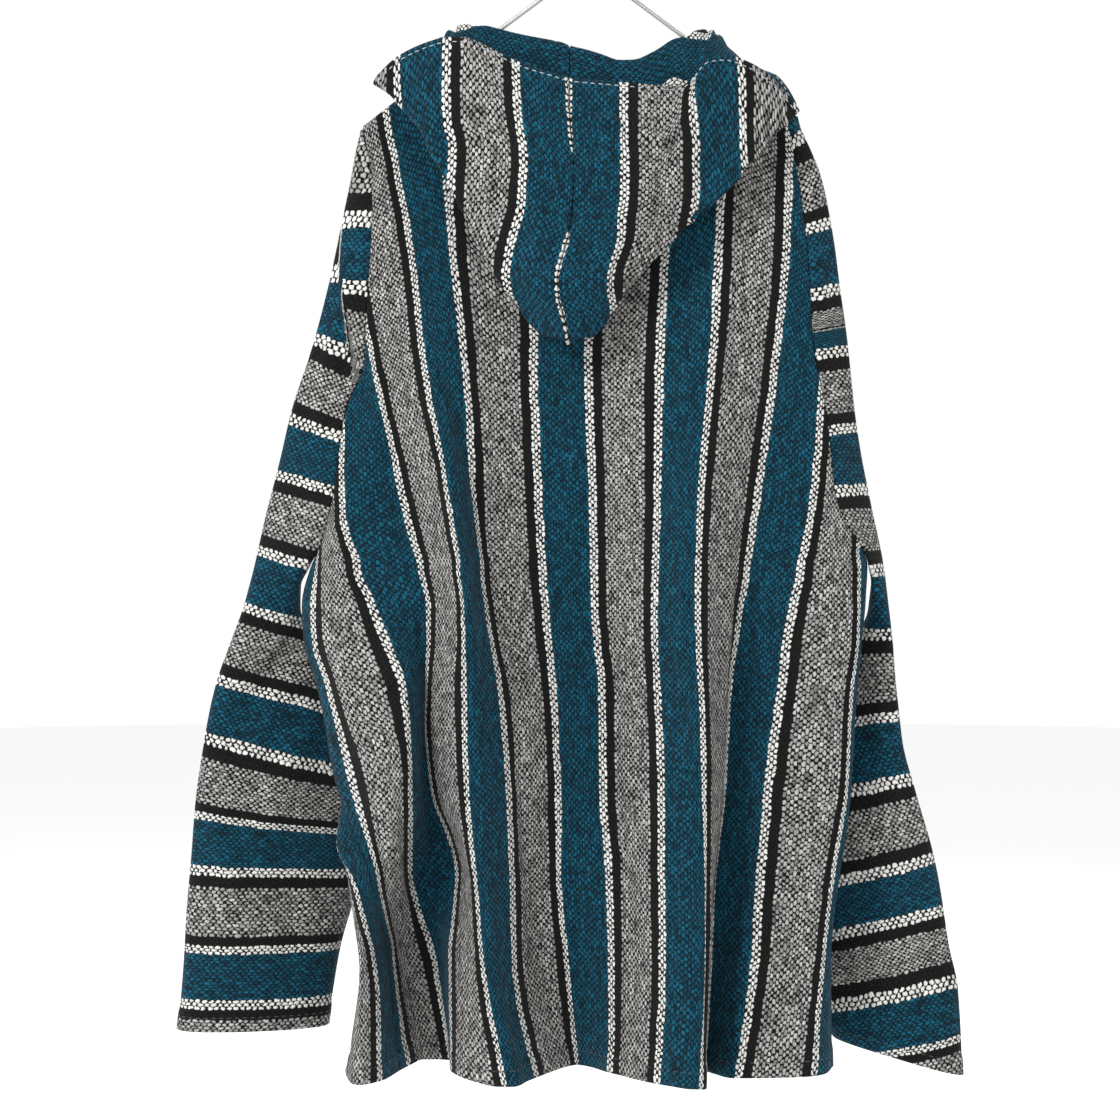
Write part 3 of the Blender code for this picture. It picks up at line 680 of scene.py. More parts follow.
def hood_section(along, left, neck):
    """One section of the hood from the crown seam round the pouch and up to the neck."""
    seam = column(CROWN_SEAM, along)[0]
    row = column(HOOD_LEFT if left else HOOD_RIGHT, along)[0]
    fold, rise, crest = row[:3], row[3:6], row[6:]
    points = [seam]
    fade = (along / HOOD_DEPTH) ** RIM_FADE
    for share, lift in RIM_LEFT if left else RIM_RIGHT:
        swell = HOOD_SWELL * math.sin(math.pi * share) * min(along / 45, 1)
        points.append(seam + (fold - seam) * share - np.array([0, swell, lift * fade]))
    neck = neck * (1, 1, -1)
    stand = column(HOOD_STAND, along)[0] * (1 if left else -1, 1, 1)
    points += [fold, rise, crest, (crest + neck) / 2 + stand, neck]
    return np.array(points) * (1, 1, -1)


def hood_grid(left):
    grid = []
    for along in hood_levels():
        points = hood_section(along, left, neck_point(along, left))
        way = way_along(points)
        grid.append(smooth(way, points, np.linspace(0, way[-1], HOOD_COLUMNS)))
    return np.array(grid)


def join_hood(left, right):
    """Parts the halves of the hood along the crown seam and down the middle of the back."""
    crown, middle = (np.s_[:, 0], np.s_[:, 1]), (np.s_[0, 1:], np.s_[1, 1:])
    for edge, inside in (crown, middle):
        off = stand_off(left[edge].copy(), left[inside], right[inside], ease=1.4)
        off[:, 0] -= SEAM_GAP / 2
        left[edge] += off
        right[edge] -= off


hood_halves = [hood_grid(left) for left in (True, False)]
join_hood(*hood_halves)
for edge, inner in ((0, 1), (-1, -2)):
    side_seam(back, front, edge, inner)
sleeve_lines = {
    "sleeve_left": (0, 1, SLEEVE_OUTER_LEFT, SLEEVE_INNER_LEFT),
    "sleeve_right": (-1, -2, SLEEVE_OUTER_RIGHT, SLEEVE_INNER_RIGHT),
}
sleeves = {name: sleeve_grid(*lines) for name, lines in sleeve_lines.items()}
print("hood", hood_halves[0].shape, "sleeves", [grid.shape for grid in sleeves.values()])

# %% [markdown]
# ## The wire's route
# The hanger is one length of wire in the plane y = 0: the hook, the neck, the right arm, the bar,
# the left arm and back up to the neck.


# %% The wire's route
def hanger_route():
    """x and z of points along the wire's middle line."""
    radius = HOOK_RADIUS + WIRE / 2
    centre = -HOOK_RADIUS
    hook = []
    for angle in np.radians(np.arange(215, -50, -15)):
        hook.append((radius * math.cos(angle), centre + radius * math.sin(angle)))
    neck = [(4.5, -41), (1.2, -46), (0.0, -51), (0.0, -57)]
    beside = WIRE + SEAM_GAP
    steep = (HANGER_END - HANGER_JUNCTION) / HANGER_HALF
    right = [(1.5, -HANGER_JUNCTION - 1.0), (8.0, -HANGER_JUNCTION - 8.0 * steep)]
    end = []
    mid = HANGER_HALF - HANGER_BEND
    for angle in np.radians(np.arange(50, -100, -20)):
        end.append((mid + HANGER_BEND * math.cos(angle),
                    HANGER_BEND * (1 + math.sin(angle)) - HANGER_BAR))
    far = [(-x, z) for x, z in reversed(end)]
    back_up = [(-8.0 - beside, -HANGER_JUNCTION - (8.0 + beside) * steep),
               (-1.5 - beside, -HANGER_JUNCTION - 1.5 * steep), (-beside, -57.0), (-beside, -51.0)]
    return hook + neck + right + end + far + back_up


route = hanger_route()
print("wire points", len(route))

# %% [markdown]
# ## A finer form
# The solids have a point about every two to three centimetres. The cloth needs one about every
# four millimetres, so that folds turn softly. A smooth curve through the solids' own points gives
# them, first down the cloth and then across it, and keeps every point of the solid.

# %% Points between the points
FINE = 4.2  # most that two points of the cloth lie apart


def spread(keys, most):
    """The keys, and even steps between them that are no longer than most."""
    places = []
    for start, end in zip(keys[:-1], keys[1:]):
        count = max(1, math.ceil((end - start) / most - 0.01))
        places.extend(np.linspace(start, end, count, endpoint=False))
    return np.array(places + [keys[-1]])


def ways(grid):
    """Mean distance of each row from the first row, and of each column from the first column."""
    down = np.linalg.norm(np.diff(grid[..., :3], axis=0), axis=2).mean(axis=1)
    across = np.linalg.norm(np.diff(grid[..., :3], axis=1), axis=2).mean(axis=0)
    return np.concatenate([[0], np.cumsum(down)]), np.concatenate([[0], np.cumsum(across)])


def finer(grid, most=FINE):
    """The grid on smooth curves through its points, with the way down and the way across it."""
    down, across = ways(grid)
    at_down, at_across = spread(down, most), spread(across, most)
    rows, columns, depth = grid.shape
    grid = smooth(down, grid.reshape(rows, -1), at_down).reshape(-1, columns, depth)
    grid = grid.transpose(1, 0, 2)
    grid = smooth(across, grid.reshape(columns, -1), at_across)
    grid = grid.reshape(len(at_across), len(at_down), depth).transpose(1, 0, 2)
    return grid, at_down, at_across


def out_of(grid):
    """The way out of the cloth at each point of a grid."""
    down, across = np.gradient(grid, axis=0), np.gradient(grid, axis=1)
    return unit(np.cross(across, down))


print("finer rows for 0, 5, 30:", spread([0, 5, 30], FINE).round(1))

# %% [markdown]
# ## Creases
# Cloth that hangs keeps soft troughs and ridges beside its large folds. Each is given as a line
# down the cloth between two points, with its own width and depth, that fades at its ends.
# None is quite like its neighbour. A little unevenness all over keeps the cloth from looking
# pressed.

# %% Creases and unevenness
chance = np.random.default_rng(7)
DEEPER = 1.35  # on all heights, because a crease loses some of its depth to the soft light
WORN = 0.35  # height of the unevenness


def creased(grid, across, drop, creases):
    """Moves the cloth out along its creases: (across, drop, across, drop, half width, height)."""
    lift = np.zeros(drop.shape)
    for start, top, end, bottom, width, height in creases:
        along = (drop - top) / (bottom - top)
        inside = np.clip(along, 0, 1)
        line = start + (end - start) * inside + width * 0.5 * np.sin(inside * 5 + start)
        fade = np.where((along > 0) & (along < 1), np.sin(np.pi * inside) ** 0.8, 0)
        off = (across - line) / (width * (0.7 + 0.5 * inside))
        lift += DEEPER * height * fade * np.exp(-off * off * np.where(off > 0, 1.5, 0.8))
    return grid + out_of(grid) * lift[..., None]


def uneven(grid, across, drop, height):
    """Low waves in many directions, as in cloth that has been worn and washed."""
    lift = np.zeros(drop.shape)
    for length in (34, 47, 61, 83, 110, 150):
        turn, start = chance.uniform(0, math.pi), chance.uniform(0, 6.28)
        wave = across * math.cos(turn) + drop * math.sin(turn) * 0.6
        lift += np.sin(wave * 2 * math.pi / length + start) * (length / 150) ** 0.7
    return grid + out_of(grid) * (lift * height)[..., None]


# %% [markdown]
# ## From a grid to cloth
# Each piece is an open surface with its place on the flat cloth kept as a UV map, so that the
# weave and the stripes follow the threads. Solidify gives it its wall. A vertex group makes the
# wall thicker where the cloth is folded over and sewn down, at the hems and the rim of the hood.

# %% A piece of cloth
WALL = 2.2  # one layer of cloth
HEM = 4.0  # the cloth with its edge turned under
HEM_BAND = 17  # width of that band at the hems and the cuffs
RIM_BAND = 15  # and at the rim of the hood
BAND_STEP = 2.5  # width over which the wall grows
TOUCHING = 0.00002  # metres within which two points are one


def turned_under(way, end, band):
    """The share of the hem's wall at each place, for an edge that is turned under."""
    return np.clip((way - end + band) / BAND_STEP, 0, 1)


def cloth_piece(name, grid, threads, hem, closed=False):
    """threads: place on the flat cloth, across and along the stripes. hem: 0 to 1 at each point.
    closed: its edges meet in a seam below the underarm, so points that touch become one."""
    rows, columns = grid.shape[:2]
    index = np.arange(rows * columns).reshape(rows, columns)
    corners = index[:-1, :-1], index[:-1, 1:], index[1:, 1:], index[1:, :-1]
    faces = np.stack([corner.ravel() for corner in corners], axis=1)
    mesh = bpy.data.meshes.new(name)
    mesh.from_pydata((grid.reshape(-1, 3) * MM).tolist(), [], faces.tolist())
    spots = threads.reshape(-1, 2)[faces.ravel()] * MM
    mesh.uv_layers.new(name="cloth").data.foreach_set("uv", spots.ravel().astype(np.float32))
    mesh.shade_smooth()
    piece = add_object(name, mesh)
    wall = piece.vertex_groups.new(name="wall")
    share = np.broadcast_to(hem, (rows, columns)).ravel()
    weights = (WALL + (HEM - WALL) * share) / HEM
    for level in np.unique(weights.round(2)):
        wall.add(np.flatnonzero(weights.round(2) == level).tolist(), float(level), "REPLACE")
    if closed:
        bpy.ops.object.mode_set(mode="EDIT")
        bpy.ops.mesh.select_all(action="SELECT")
        bpy.ops.mesh.remove_doubles(threshold=TOUCHING)
        bpy.ops.object.mode_set(mode="OBJECT")
    solid = piece.modifiers.new("wall", "SOLIDIFY")
    solid.thickness = HEM * MM
    solid.offset = 0
    solid.vertex_group = "wall"
    solid.use_even_offset = False
    bpy.ops.object.modifier_apply(modifier="wall")
    print(name, len(piece.data.polygons), "faces")
    return piece


def drawn(name, lines, radius, sides):
    """Round thread or wire along lines of points, as a mesh."""
    curve = bpy.data.curves.new(name, "CURVE")
    curve.dimensions = "3D"
    curve.bevel_depth = radius * MM
    curve.bevel_resolution = sides
    curve.use_fill_caps = len(lines) == 1
    for places in lines:
        line = curve.splines.new("POLY")
        line.points.add(len(places) - 1)
        for point, place in zip(line.points, places):
            point.co = (*(np.array(place) * MM), 1)
    piece = add_object(name, curve)
    bpy.ops.object.convert(target="MESH")
    return piece


STITCH_LENGTH, STITCH_GAP, THREAD_RADIUS = 4.2, 2.0, 0.42
STITCH_BOW = ((0.0, 0.55), (0.25, 1.0), (0.75, 1.0), (1.0, 0.55))  # share of its length, lift


def stitches(name, line, out):
    """A row of stitches along a line of points; out takes them to each face of the cloth."""
    way = way_along(line)

    def spot(table, at):
        return np.array([np.interp(at, way, table[:, axis]) for axis in range(3)])

    rows = []
    for start in np.arange(1.0, way[-1] - STITCH_LENGTH, STITCH_LENGTH + STITCH_GAP):
        for side in (-1, 1):
            bow = [(start + STITCH_LENGTH * share, side * lift) for share, lift in STITCH_BOW]
            rows.append([spot(line, at) + spot(out, at) * lift for at, lift in bow])
    piece = drawn(name, rows, THREAD_RADIUS, 1)
    piece.data.shade_smooth()
    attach(piece, "root")
    print(name, len(piece.data.polygons), "faces")
    return piece


def dress(piece, node):
    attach(piece, "root")
    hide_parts(node)


# %% [markdown]
# ## The back and the front
# Two straight lengths of cloth, sewn together at the shoulders and the sides. The stripes run up
# and down. The hem is turned under and sewn.

# %% Creases of the body
BACK_CREASES = (  # s, drop, s, drop, half width, height
    (-214, 250, -236, 430, 13, 3.0),
    (-176, 330, -226, 560, 15, -3.5),
    (-150, 200, -128, 330, 14, -2.5),
    (-96, 380, -60, 640, 11, 3.0),
    (-66, 600, -48, 930, 10, 2.5),
    (-30, 690, -6, 935, 12, -3.5),
    (12, 400, -14, 620, 12, -2.2),
    (34, 560, 46, 900, 9, 2.6),
    (70, 330, 62, 560, 13, -2.4),
    (100, 620, 132, 935, 12, 3.0),
    (150, 250, 134, 460, 16, 3.2),
    (168, 480, 160, 800, 12, -3.2),
    (196, 340, 230, 560, 14, 3.0),
    (214, 650, 206, 930, 13, 3.4),
    (248, 500, 258, 720, 11, -3.0),
    (262, 740, 250, 935, 12, 3.0),
    (-262, 640, -240, 860, 11, -3.0),
    (-200, 660, -206, 900, 12, 2.8),
)
FRONT_CREASES = (
    (370, 260, 352, 520, 14, -3.0),
    (392, 560, 420, 900, 12, 3.2),
    (452, 330, 470, 600, 15, -3.2),
    (500, 640, 486, 935, 12, 2.8),
    (548, 420, 560, 760, 11, -3.0),
    (600, 250, 616, 470, 14, 2.6),
    (640, 560, 622, 935, 13, -3.4),
    (690, 350, 706, 650, 12, 3.0),
    (742, 620, 730, 930, 12, 3.2),
    (776, 300, 790, 520, 15, -2.8),
    (816, 540, 802, 800, 10, 2.4),
    (860, 420, 850, 640, 11, -2.6),
)
print("creases:", len(BACK_CREASES), "on the back and", len(FRONT_CREASES), "on the front")


# %% The back and the front
def body_piece(name, grid, s, creases):
    grid, down, _ = finer(np.dstack([grid, s]))
    grid, s = grid[..., :3], grid[..., 3]
    drop = -grid[..., 2]
    grid = creased(grid, s, drop, creases)
    grid = uneven(grid, s, drop, WORN)
    threads = np.dstack([s, np.broadcast_to(down[:, None], s.shape)])
    hem = turned_under(down, down[-1], HEM_BAND)[:, None]
    piece = cloth_piece(name + "_cloth", grid, threads, hem)
    dress(piece, name)
    return piece, grid, threads


body_back = body_piece("body_back", back, back_s, BACK_CREASES)
body_front = body_piece("body_front", front, front_s, FRONT_CREASES)

# %% [markdown]
# ## The sleeves
# Each sleeve is one length of cloth with its stripes round the arm, sewn into a tube. The tables
# say where the edges of the stripes lie on its outer fold: a drop for each, and how many repeats
# of the stripe lie above it. Towards the body the stripes run lower, because the sleeve hangs
# from its top edge.

# %% Stripes of the sleeves
REPEAT = 102.5  # width of one repeat of the stripe
LEFT_STRIPES = {  # drop on the outer fold: repeats of the stripe
    150: -0.31, 165: -0.178, 206: 0.178, 213: 0.237, 226: 0.31, 292: 0.69, 318: 0.822,
    358: 1.178, 377: 1.31, 413: 1.69, 432: 1.822,
    467: 2.178, 483: 2.31, 521: 2.69, 537: 2.822, 574: 3.178, 589: 3.31, 625: 3.69, 641: 3.822,
    678: 4.178, 697: 4.31, 736: 4.69, 748: 4.822, 785: 5.178, 801: 5.31, 844: 5.69, 857: 5.822,
    894: 6.178, 909: 6.31, 960: 6.8,
}
RIGHT_STRIPES = {
    160: -0.05, 195: 0.178, 203: 0.237, 216: 0.31, 257: 0.69, 274: 0.822, 317: 1.178, 336: 1.31,
    350: 1.62, 355: 1.95, 366: 2.178, 385: 2.31, 422: 2.69, 438: 2.822, 478: 3.178, 497: 3.31,
    534: 3.69, 554: 3.822, 595: 4.178, 614: 4.31, 655: 4.69, 670: 4.822, 711: 5.178, 730: 5.31,
    768: 5.69, 786: 5.822, 818: 6.178, 836: 6.31, 865: 6.69, 887: 6.822, 924: 7.178, 936: 7.31,
    980: 7.7,
}
# How much lower the stripes run for each millimetre towards the body, at each drop.
LEFT_SLOPE = {180: 0, 300: 0.05, 400: 0.45, 470: 0.27, 715: 0.26, 745: 0.19, 800: 0.05, 930: 0}
RIGHT_SLOPE = {180: 0.6, 300: 0.3, 400: 0.15, 590: 0.0, 700: 0.2, 800: 0.25, 960: 0.2}
# A fold beside the left armhole hides some cloth, so inside it the stripes jump.
LEFT_FOLD = {150: -198, 330: -198, 395: -186, 420: -150, 980: 0}  # drop: x of its line
FOLDED = 43  # length of the hidden cloth
FOLD_END = 242  # drop above which the whole sleeve is inside the fold
FOLD_EDGE = 3  # width over which the stripes jump


def sleeve_threads(grid, outer_line, stripes, slope, fold_line=None):
    drop = -grid[..., 2]
    fold = column(outer_line, drop.ravel())[:, 0].reshape(drop.shape)
    inwards = np.abs(grid[..., 0] - fold)
    lean = column(slope, drop.ravel())[:, 0].reshape(drop.shape)
    at = drop - lean * inwards
    if fold_line:
        line = np.interp(drop, list(fold_line), list(fold_line.values()))
        inside = np.clip((grid[..., 0] - line) / FOLD_EDGE, 0, 1)
        above = np.clip((FOLD_END - drop) / FOLD_EDGE, 0, 1)
        at += FOLDED * np.maximum(inside, above)
    repeats = np.interp(at.ravel(), list(stripes), list(stripes.values())).reshape(drop.shape)
    around = way_across(grid)
    around -= around[:, around.shape[1] // 2][:, None]
    return np.dstack([repeats * REPEAT, around])


print("repeats on the sleeves:", max(LEFT_STRIPES.values()), "and", max(RIGHT_STRIPES.values()))

# %% Creases of the sleeves
LEFT_CREASES = (  # across: around the sleeve from its outer fold, the back's side negative
    (-20, 300, -34, 450, 9, 2.5),
    (-60, 560, -30, 700, 12, -3.5),
    (-84, 640, -70, 800, 12, 3.0),
    (-30, 720, -46, 880, 13, 3.0),
    (-100, 780, -92, 905, 10, -3.0),
    (40, 520, 60, 700, 12, 3.2),
    (80, 650, 64, 850, 13, -3.4),
    (28, 760, 36, 900, 12, 2.8),
)
RIGHT_CREASES = (
    (-16, 260, -24, 380, 7, -2.2),
    (-50, 600, -26, 720, 12, 3.0),
    (-90, 660, -60, 800, 12, -3.4),
    (-24, 740, -44, 850, 10, -3.0),
    (-20, 850, -60, 930, 10, 3.4),
    (-110, 800, -100, 920, 10, 3.0),
    (36, 540, 58, 720, 12, -3.0),
    (84, 640, 70, 860, 13, 3.2),
    (30, 780, 44, 930, 12, -3.0),
)
SEAM_CALM = 14  # creases fade within this distance of the sleeve's seam
print("creases:", len(LEFT_CREASES), "on the left and", len(RIGHT_CREASES), "on the right")


# %% The sleeves
def sleeve_piece(name, stripes, slope, creases, fold_line=None):
    grid, down, across = finer(sleeves[name])
    outer_line = sleeve_lines[name][2]
    threads = sleeve_threads(grid, outer_line, stripes, slope, fold_line)
    drop = -grid[..., 2]
    fade = np.clip(np.minimum(across, across[-1] - across) / SEAM_CALM, 0, 1)[None, :, None]
    bent = creased(grid, threads[..., 1], drop, creases)
    bent = uneven(bent, threads[..., 1], drop, WORN)
    grid = grid + (bent - grid) * fade
    hem = turned_under(down, down[-1], HEM_BAND)[:, None]
    piece = cloth_piece(name + "_cloth", grid, threads, hem, closed=True)
    dress(piece, name)
    return piece, grid, threads


sleeve_left = sleeve_piece("sleeve_left", LEFT_STRIPES, LEFT_SLOPE, LEFT_CREASES, LEFT_FOLD)
sleeve_right = sleeve_piece("sleeve_right", RIGHT_STRIPES, RIGHT_SLOPE, RIGHT_CREASES)

# %% [markdown]
# ## The hood
# The hood is two lengths of cloth, sewn together over the crown and down the back of the head.
# It hangs down the back as a pouch, whose seam runs down its middle, and the rim of the face
# opening shows at the top. The stripes run along the seam.

# %% Stripes and creases of the hood
# How far the seam lies from the middle of the teal stripe, at places along the crown seam. It
# shows the white fleck at its two ends and hides it in the middle.
SEAM_ALONG = (0, 78, 92, 140, 154, 207)
SEAM_STRIPE = {
    "hood_left": (20.4, 20.8, 17.6, 17.6, 20.4, 21.6),
    "hood_right": (18.4, 19.4, 17.2, 17.2, 18.6, 20.9),
}
FOLD, CREST = 11.5, 21  # columns where the hood turns back, and where it goes over the neck
FOLD_TO_CREST = CREST - 3 - FOLD  # columns over which the stripes shift towards the crest
CREST_STRIPE = 236  # way from the seam at which the teal stripe lies along that crest
CREST_SHIFT = (-12, 30)  # least and most that the stripes shift
HOOD_FINE = 3.4  # most that two points of the hood lie apart
HOOD_WORN = 0.3  # height of the hood's unevenness
HOOD_LEFT_CREASES = (  # across: the way from the crown seam; drop: along the seam from its end
    (18, 60, 46, 190, 8, -2.6),
    (60, 90, 72, 205, 10, 2.4),
    (100, 60, 118, 200, 9, -2.6),
    (30, 10, 34, 90, 8, 2.0),
)
HOOD_RIGHT_CREASES = (
    (24, 130, 30, 200, 7, -2.4),
    (66, 80, 52, 200, 9, -2.6),
    (96, 60, 124, 200, 10, 2.4),
    (36, 10, 30, 100, 8, -2.0),
)
LEFT_TUCKS = (  # short level tucks, as the creases but with the two ways swapped
    (194, 2, 197, 20, 3.2, -3.2),
    (150, 60, 158, 96, 5.0, -2.0),
)
RIGHT_TUCKS = (
    (177, 7, 176, 42, 3.2, -4.2),
    (185, 8, 184, 40, 4.0, 2.0),
    (165, 50, 163, 92, 3.6, -4.2),
    (174, 54, 172, 90, 4.5, 2.0),
)
print("creases:", len(HOOD_LEFT_CREASES) + len(HOOD_RIGHT_CREASES),
      "and tucks:", len(LEFT_TUCKS) + len(RIGHT_TUCKS))


# %% The hood
def hood_piece(name, grid, creases, tucks):
    along = np.broadcast_to(hood_levels()[:, None], grid.shape[:2])
    number = np.broadcast_to(np.arange(grid.shape[1], dtype=float), along.shape)
    grid, _, _ = finer(np.dstack([grid, along, number]), HOOD_FINE)
    grid, along, number = grid[..., :3], grid[..., 3], grid[..., 4]
    around = way_across(grid)
    crest = np.array([np.interp(CREST, *row) for row in zip(number, around)])[:, None]
    over = np.clip((number - FOLD) / FOLD_TO_CREST, 0, 1)
    stripe = around - np.interp(along, SEAM_ALONG, SEAM_STRIPE[name])
    stripe = stripe - over * np.clip(crest - CREST_STRIPE, *CREST_SHIFT)
    if name == "hood_right":
        grid, around, along, stripe = (each[:, ::-1] for each in (grid, around, along, stripe))
    grid = creased(grid, around, along, creases)
    grid = creased(grid, along, around, tucks)
    grid = uneven(grid, around, along, HOOD_WORN)
    threads = np.dstack([stripe, along])
    rim = turned_under(along, HOOD_DEPTH, RIM_BAND)
    piece = cloth_piece(name + "_cloth", grid, threads, rim)
    dress(piece, name)
    return piece, grid, threads


hood_left = hood_piece("hood_left", hood_halves[0], HOOD_LEFT_CREASES, LEFT_TUCKS)
hood_right = hood_piece("hood_right", hood_halves[1], HOOD_RIGHT_CREASES, RIGHT_TUCKS)

# %% [markdown]
# ## The hanger
# One length of round steel wire, bent into a hook, two arms and a bar. The solid's wire has flat
# sides, so the same route is drawn again as a curve, with a rounder section.

# %% The hanger
hanger = drawn("hanger_wire", [[(x, 0, z) for x, z in route]], WIRE / 2, 6)
bpy.ops.object.shade_smooth_by_angle(angle=math.radians(40))
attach(hanger, "root")
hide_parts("hanger")
print("hanger_wire", len(hanger.data.polygons), "faces")

# %% [markdown]
# ## Stitches
# The hems, the cuffs and the rim of the hood are sewn with a single thread, which shows on both
# faces of the cloth as a row of small stitches.


# %% Stitches
HEM_ROW, RIM_ROW = 13, 4  # how far a row of stitches lies from the edge
STITCH_LIFT = 0.1  # how far the thread's middle stands off the hem


def sewn_row(name, piece, from_edge):
    _, grid, threads = piece
    lengths = threads[:, :, 1] if "sleeve" not in name else ways(grid)[0][:, None]
    row = int(np.argmin(np.abs(lengths.mean(axis=1) - (lengths[-1].mean() - from_edge))))
    return stitches(name, grid[row], out_of(grid)[row] * (HEM / 2 + STITCH_LIFT))


SEWN_EDGES = (
    ("back_hem", body_back, HEM_ROW),
    ("front_hem", body_front, HEM_ROW),
    ("sleeve_left", sleeve_left, HEM_ROW),
    ("sleeve_right", sleeve_right, HEM_ROW),
    ("hood_left", hood_left, RIM_ROW),
    ("hood_right", hood_right, RIM_ROW),
)
sewn = [sewn_row(edge + "_stitches", piece, row) for edge, piece, row in SEWN_EDGES]

# %% [markdown]
# ## The woven cloth
# Jerga is a plain weave of thick, uneven cotton and acrylic yarn. The warp makes the stripes:
# teal, a white fleck, black, a grey marl, black and white again. The weft is black and shows
# between the warp's floats as dark dots. The pattern is built from the place on the flat cloth: a
# count of warp ends gives the stripe, and each float of the warp is an oval in a brick bond.

# %% A short way to write sums in a node tree
ENDS = 42  # warp ends in one repeat
END_WIDTH = REPEAT / ENDS
PICK = 2.55  # height of one weft thread


class Sums:
    """Adds nodes to a tree. A call adds a maths node and gives the socket with its result."""

    def __init__(self, tree):
        self.tree = tree

    def __call__(self, operation, *values):
        node = self.tree.nodes.new("ShaderNodeMath")
        node.operation = operation
        for socket, value in zip(node.inputs, values):
            self.put(socket, value)
        return node.outputs[0]

    def put(self, socket, value):
        if isinstance(value, bpy.types.NodeSocket):
            self.tree.links.new(value, socket)
        else:
            socket.default_value = value

    def node(self, kind, **values):
        """A node of any kind, with its inputs and settings by name."""
        node = self.tree.nodes.new(kind)
        for key, value in values.items():
            if key in node.inputs:
                self.put(node.inputs[key], value)
            else:
                setattr(node, key, value)
        return node

    def parts(self, colour):
        """The three channels of a colour."""
        return self.node("ShaderNodeSeparateColor", Color=colour).outputs

    def shaken(self, value, channel, much):
        """A value moved to and fro by a noise's channel."""
        return self("ADD", value, self("MULTIPLY", self("SUBTRACT", channel, 0.5), much))

    def bulge(self, distance):
        """The height of a round thread at a distance from its middle, where 1 is its edge."""
        return self("SQRT", self("MAXIMUM", self("SUBTRACT", 1.0, distance), 0.0))

    def between(self, value, low, high, to_low=0.0, to_high=1.0, soft=False):
        """A value's place from low to high, brought to the range from to_low to to_high."""
        node = self.tree.nodes.new("ShaderNodeMapRange")
        node.interpolation_type = "SMOOTHSTEP" if soft else "LINEAR"
        for socket, each in zip(node.inputs, (value, low, high, to_low, to_high)):
            self.put(socket, each)
        return node.outputs[0]


print("a warp end is", round(END_WIDTH, 2), "mm wide and a weft thread", PICK, "mm high")

# %% The weave
# Each yarn: its colour, how much it varies, how light the gaps in it are.
TEAL = (0.002, 0.056, 0.094), 0.80, 0.16
WHITE = (0.62, 0.62, 0.59), 0.18, 0.007
BLACK = (0.006, 0.006, 0.006), 0.30, 0.5
GREY = (0.295, 0.290, 0.276), 0.78, 0.010
STRIPES = {0: TEAL, 8: WHITE, 11: BLACK, 14: GREY, 29: BLACK, 32: WHITE, 35: TEAL}  # by first end
WEFT_COLOUR = (0.0025, 0.0025, 0.003)


def ramp(sums, value, stops):
    """A colour ramp in steps: (place, colour) for each."""
    node = sums.node("ShaderNodeValToRGB", Fac=value)
    band = node.color_ramp
    band.interpolation = "CONSTANT"
    for place, colour in stops[1:]:
        band.elements.new(place).color = (*colour, 1)
    band.elements[0].color = (*stops[0][1], 1)
    last = band.elements[len(band.elements) - 1]
    if last.position > 0.99:
        band.elements.remove(last)
    return node.outputs[0]


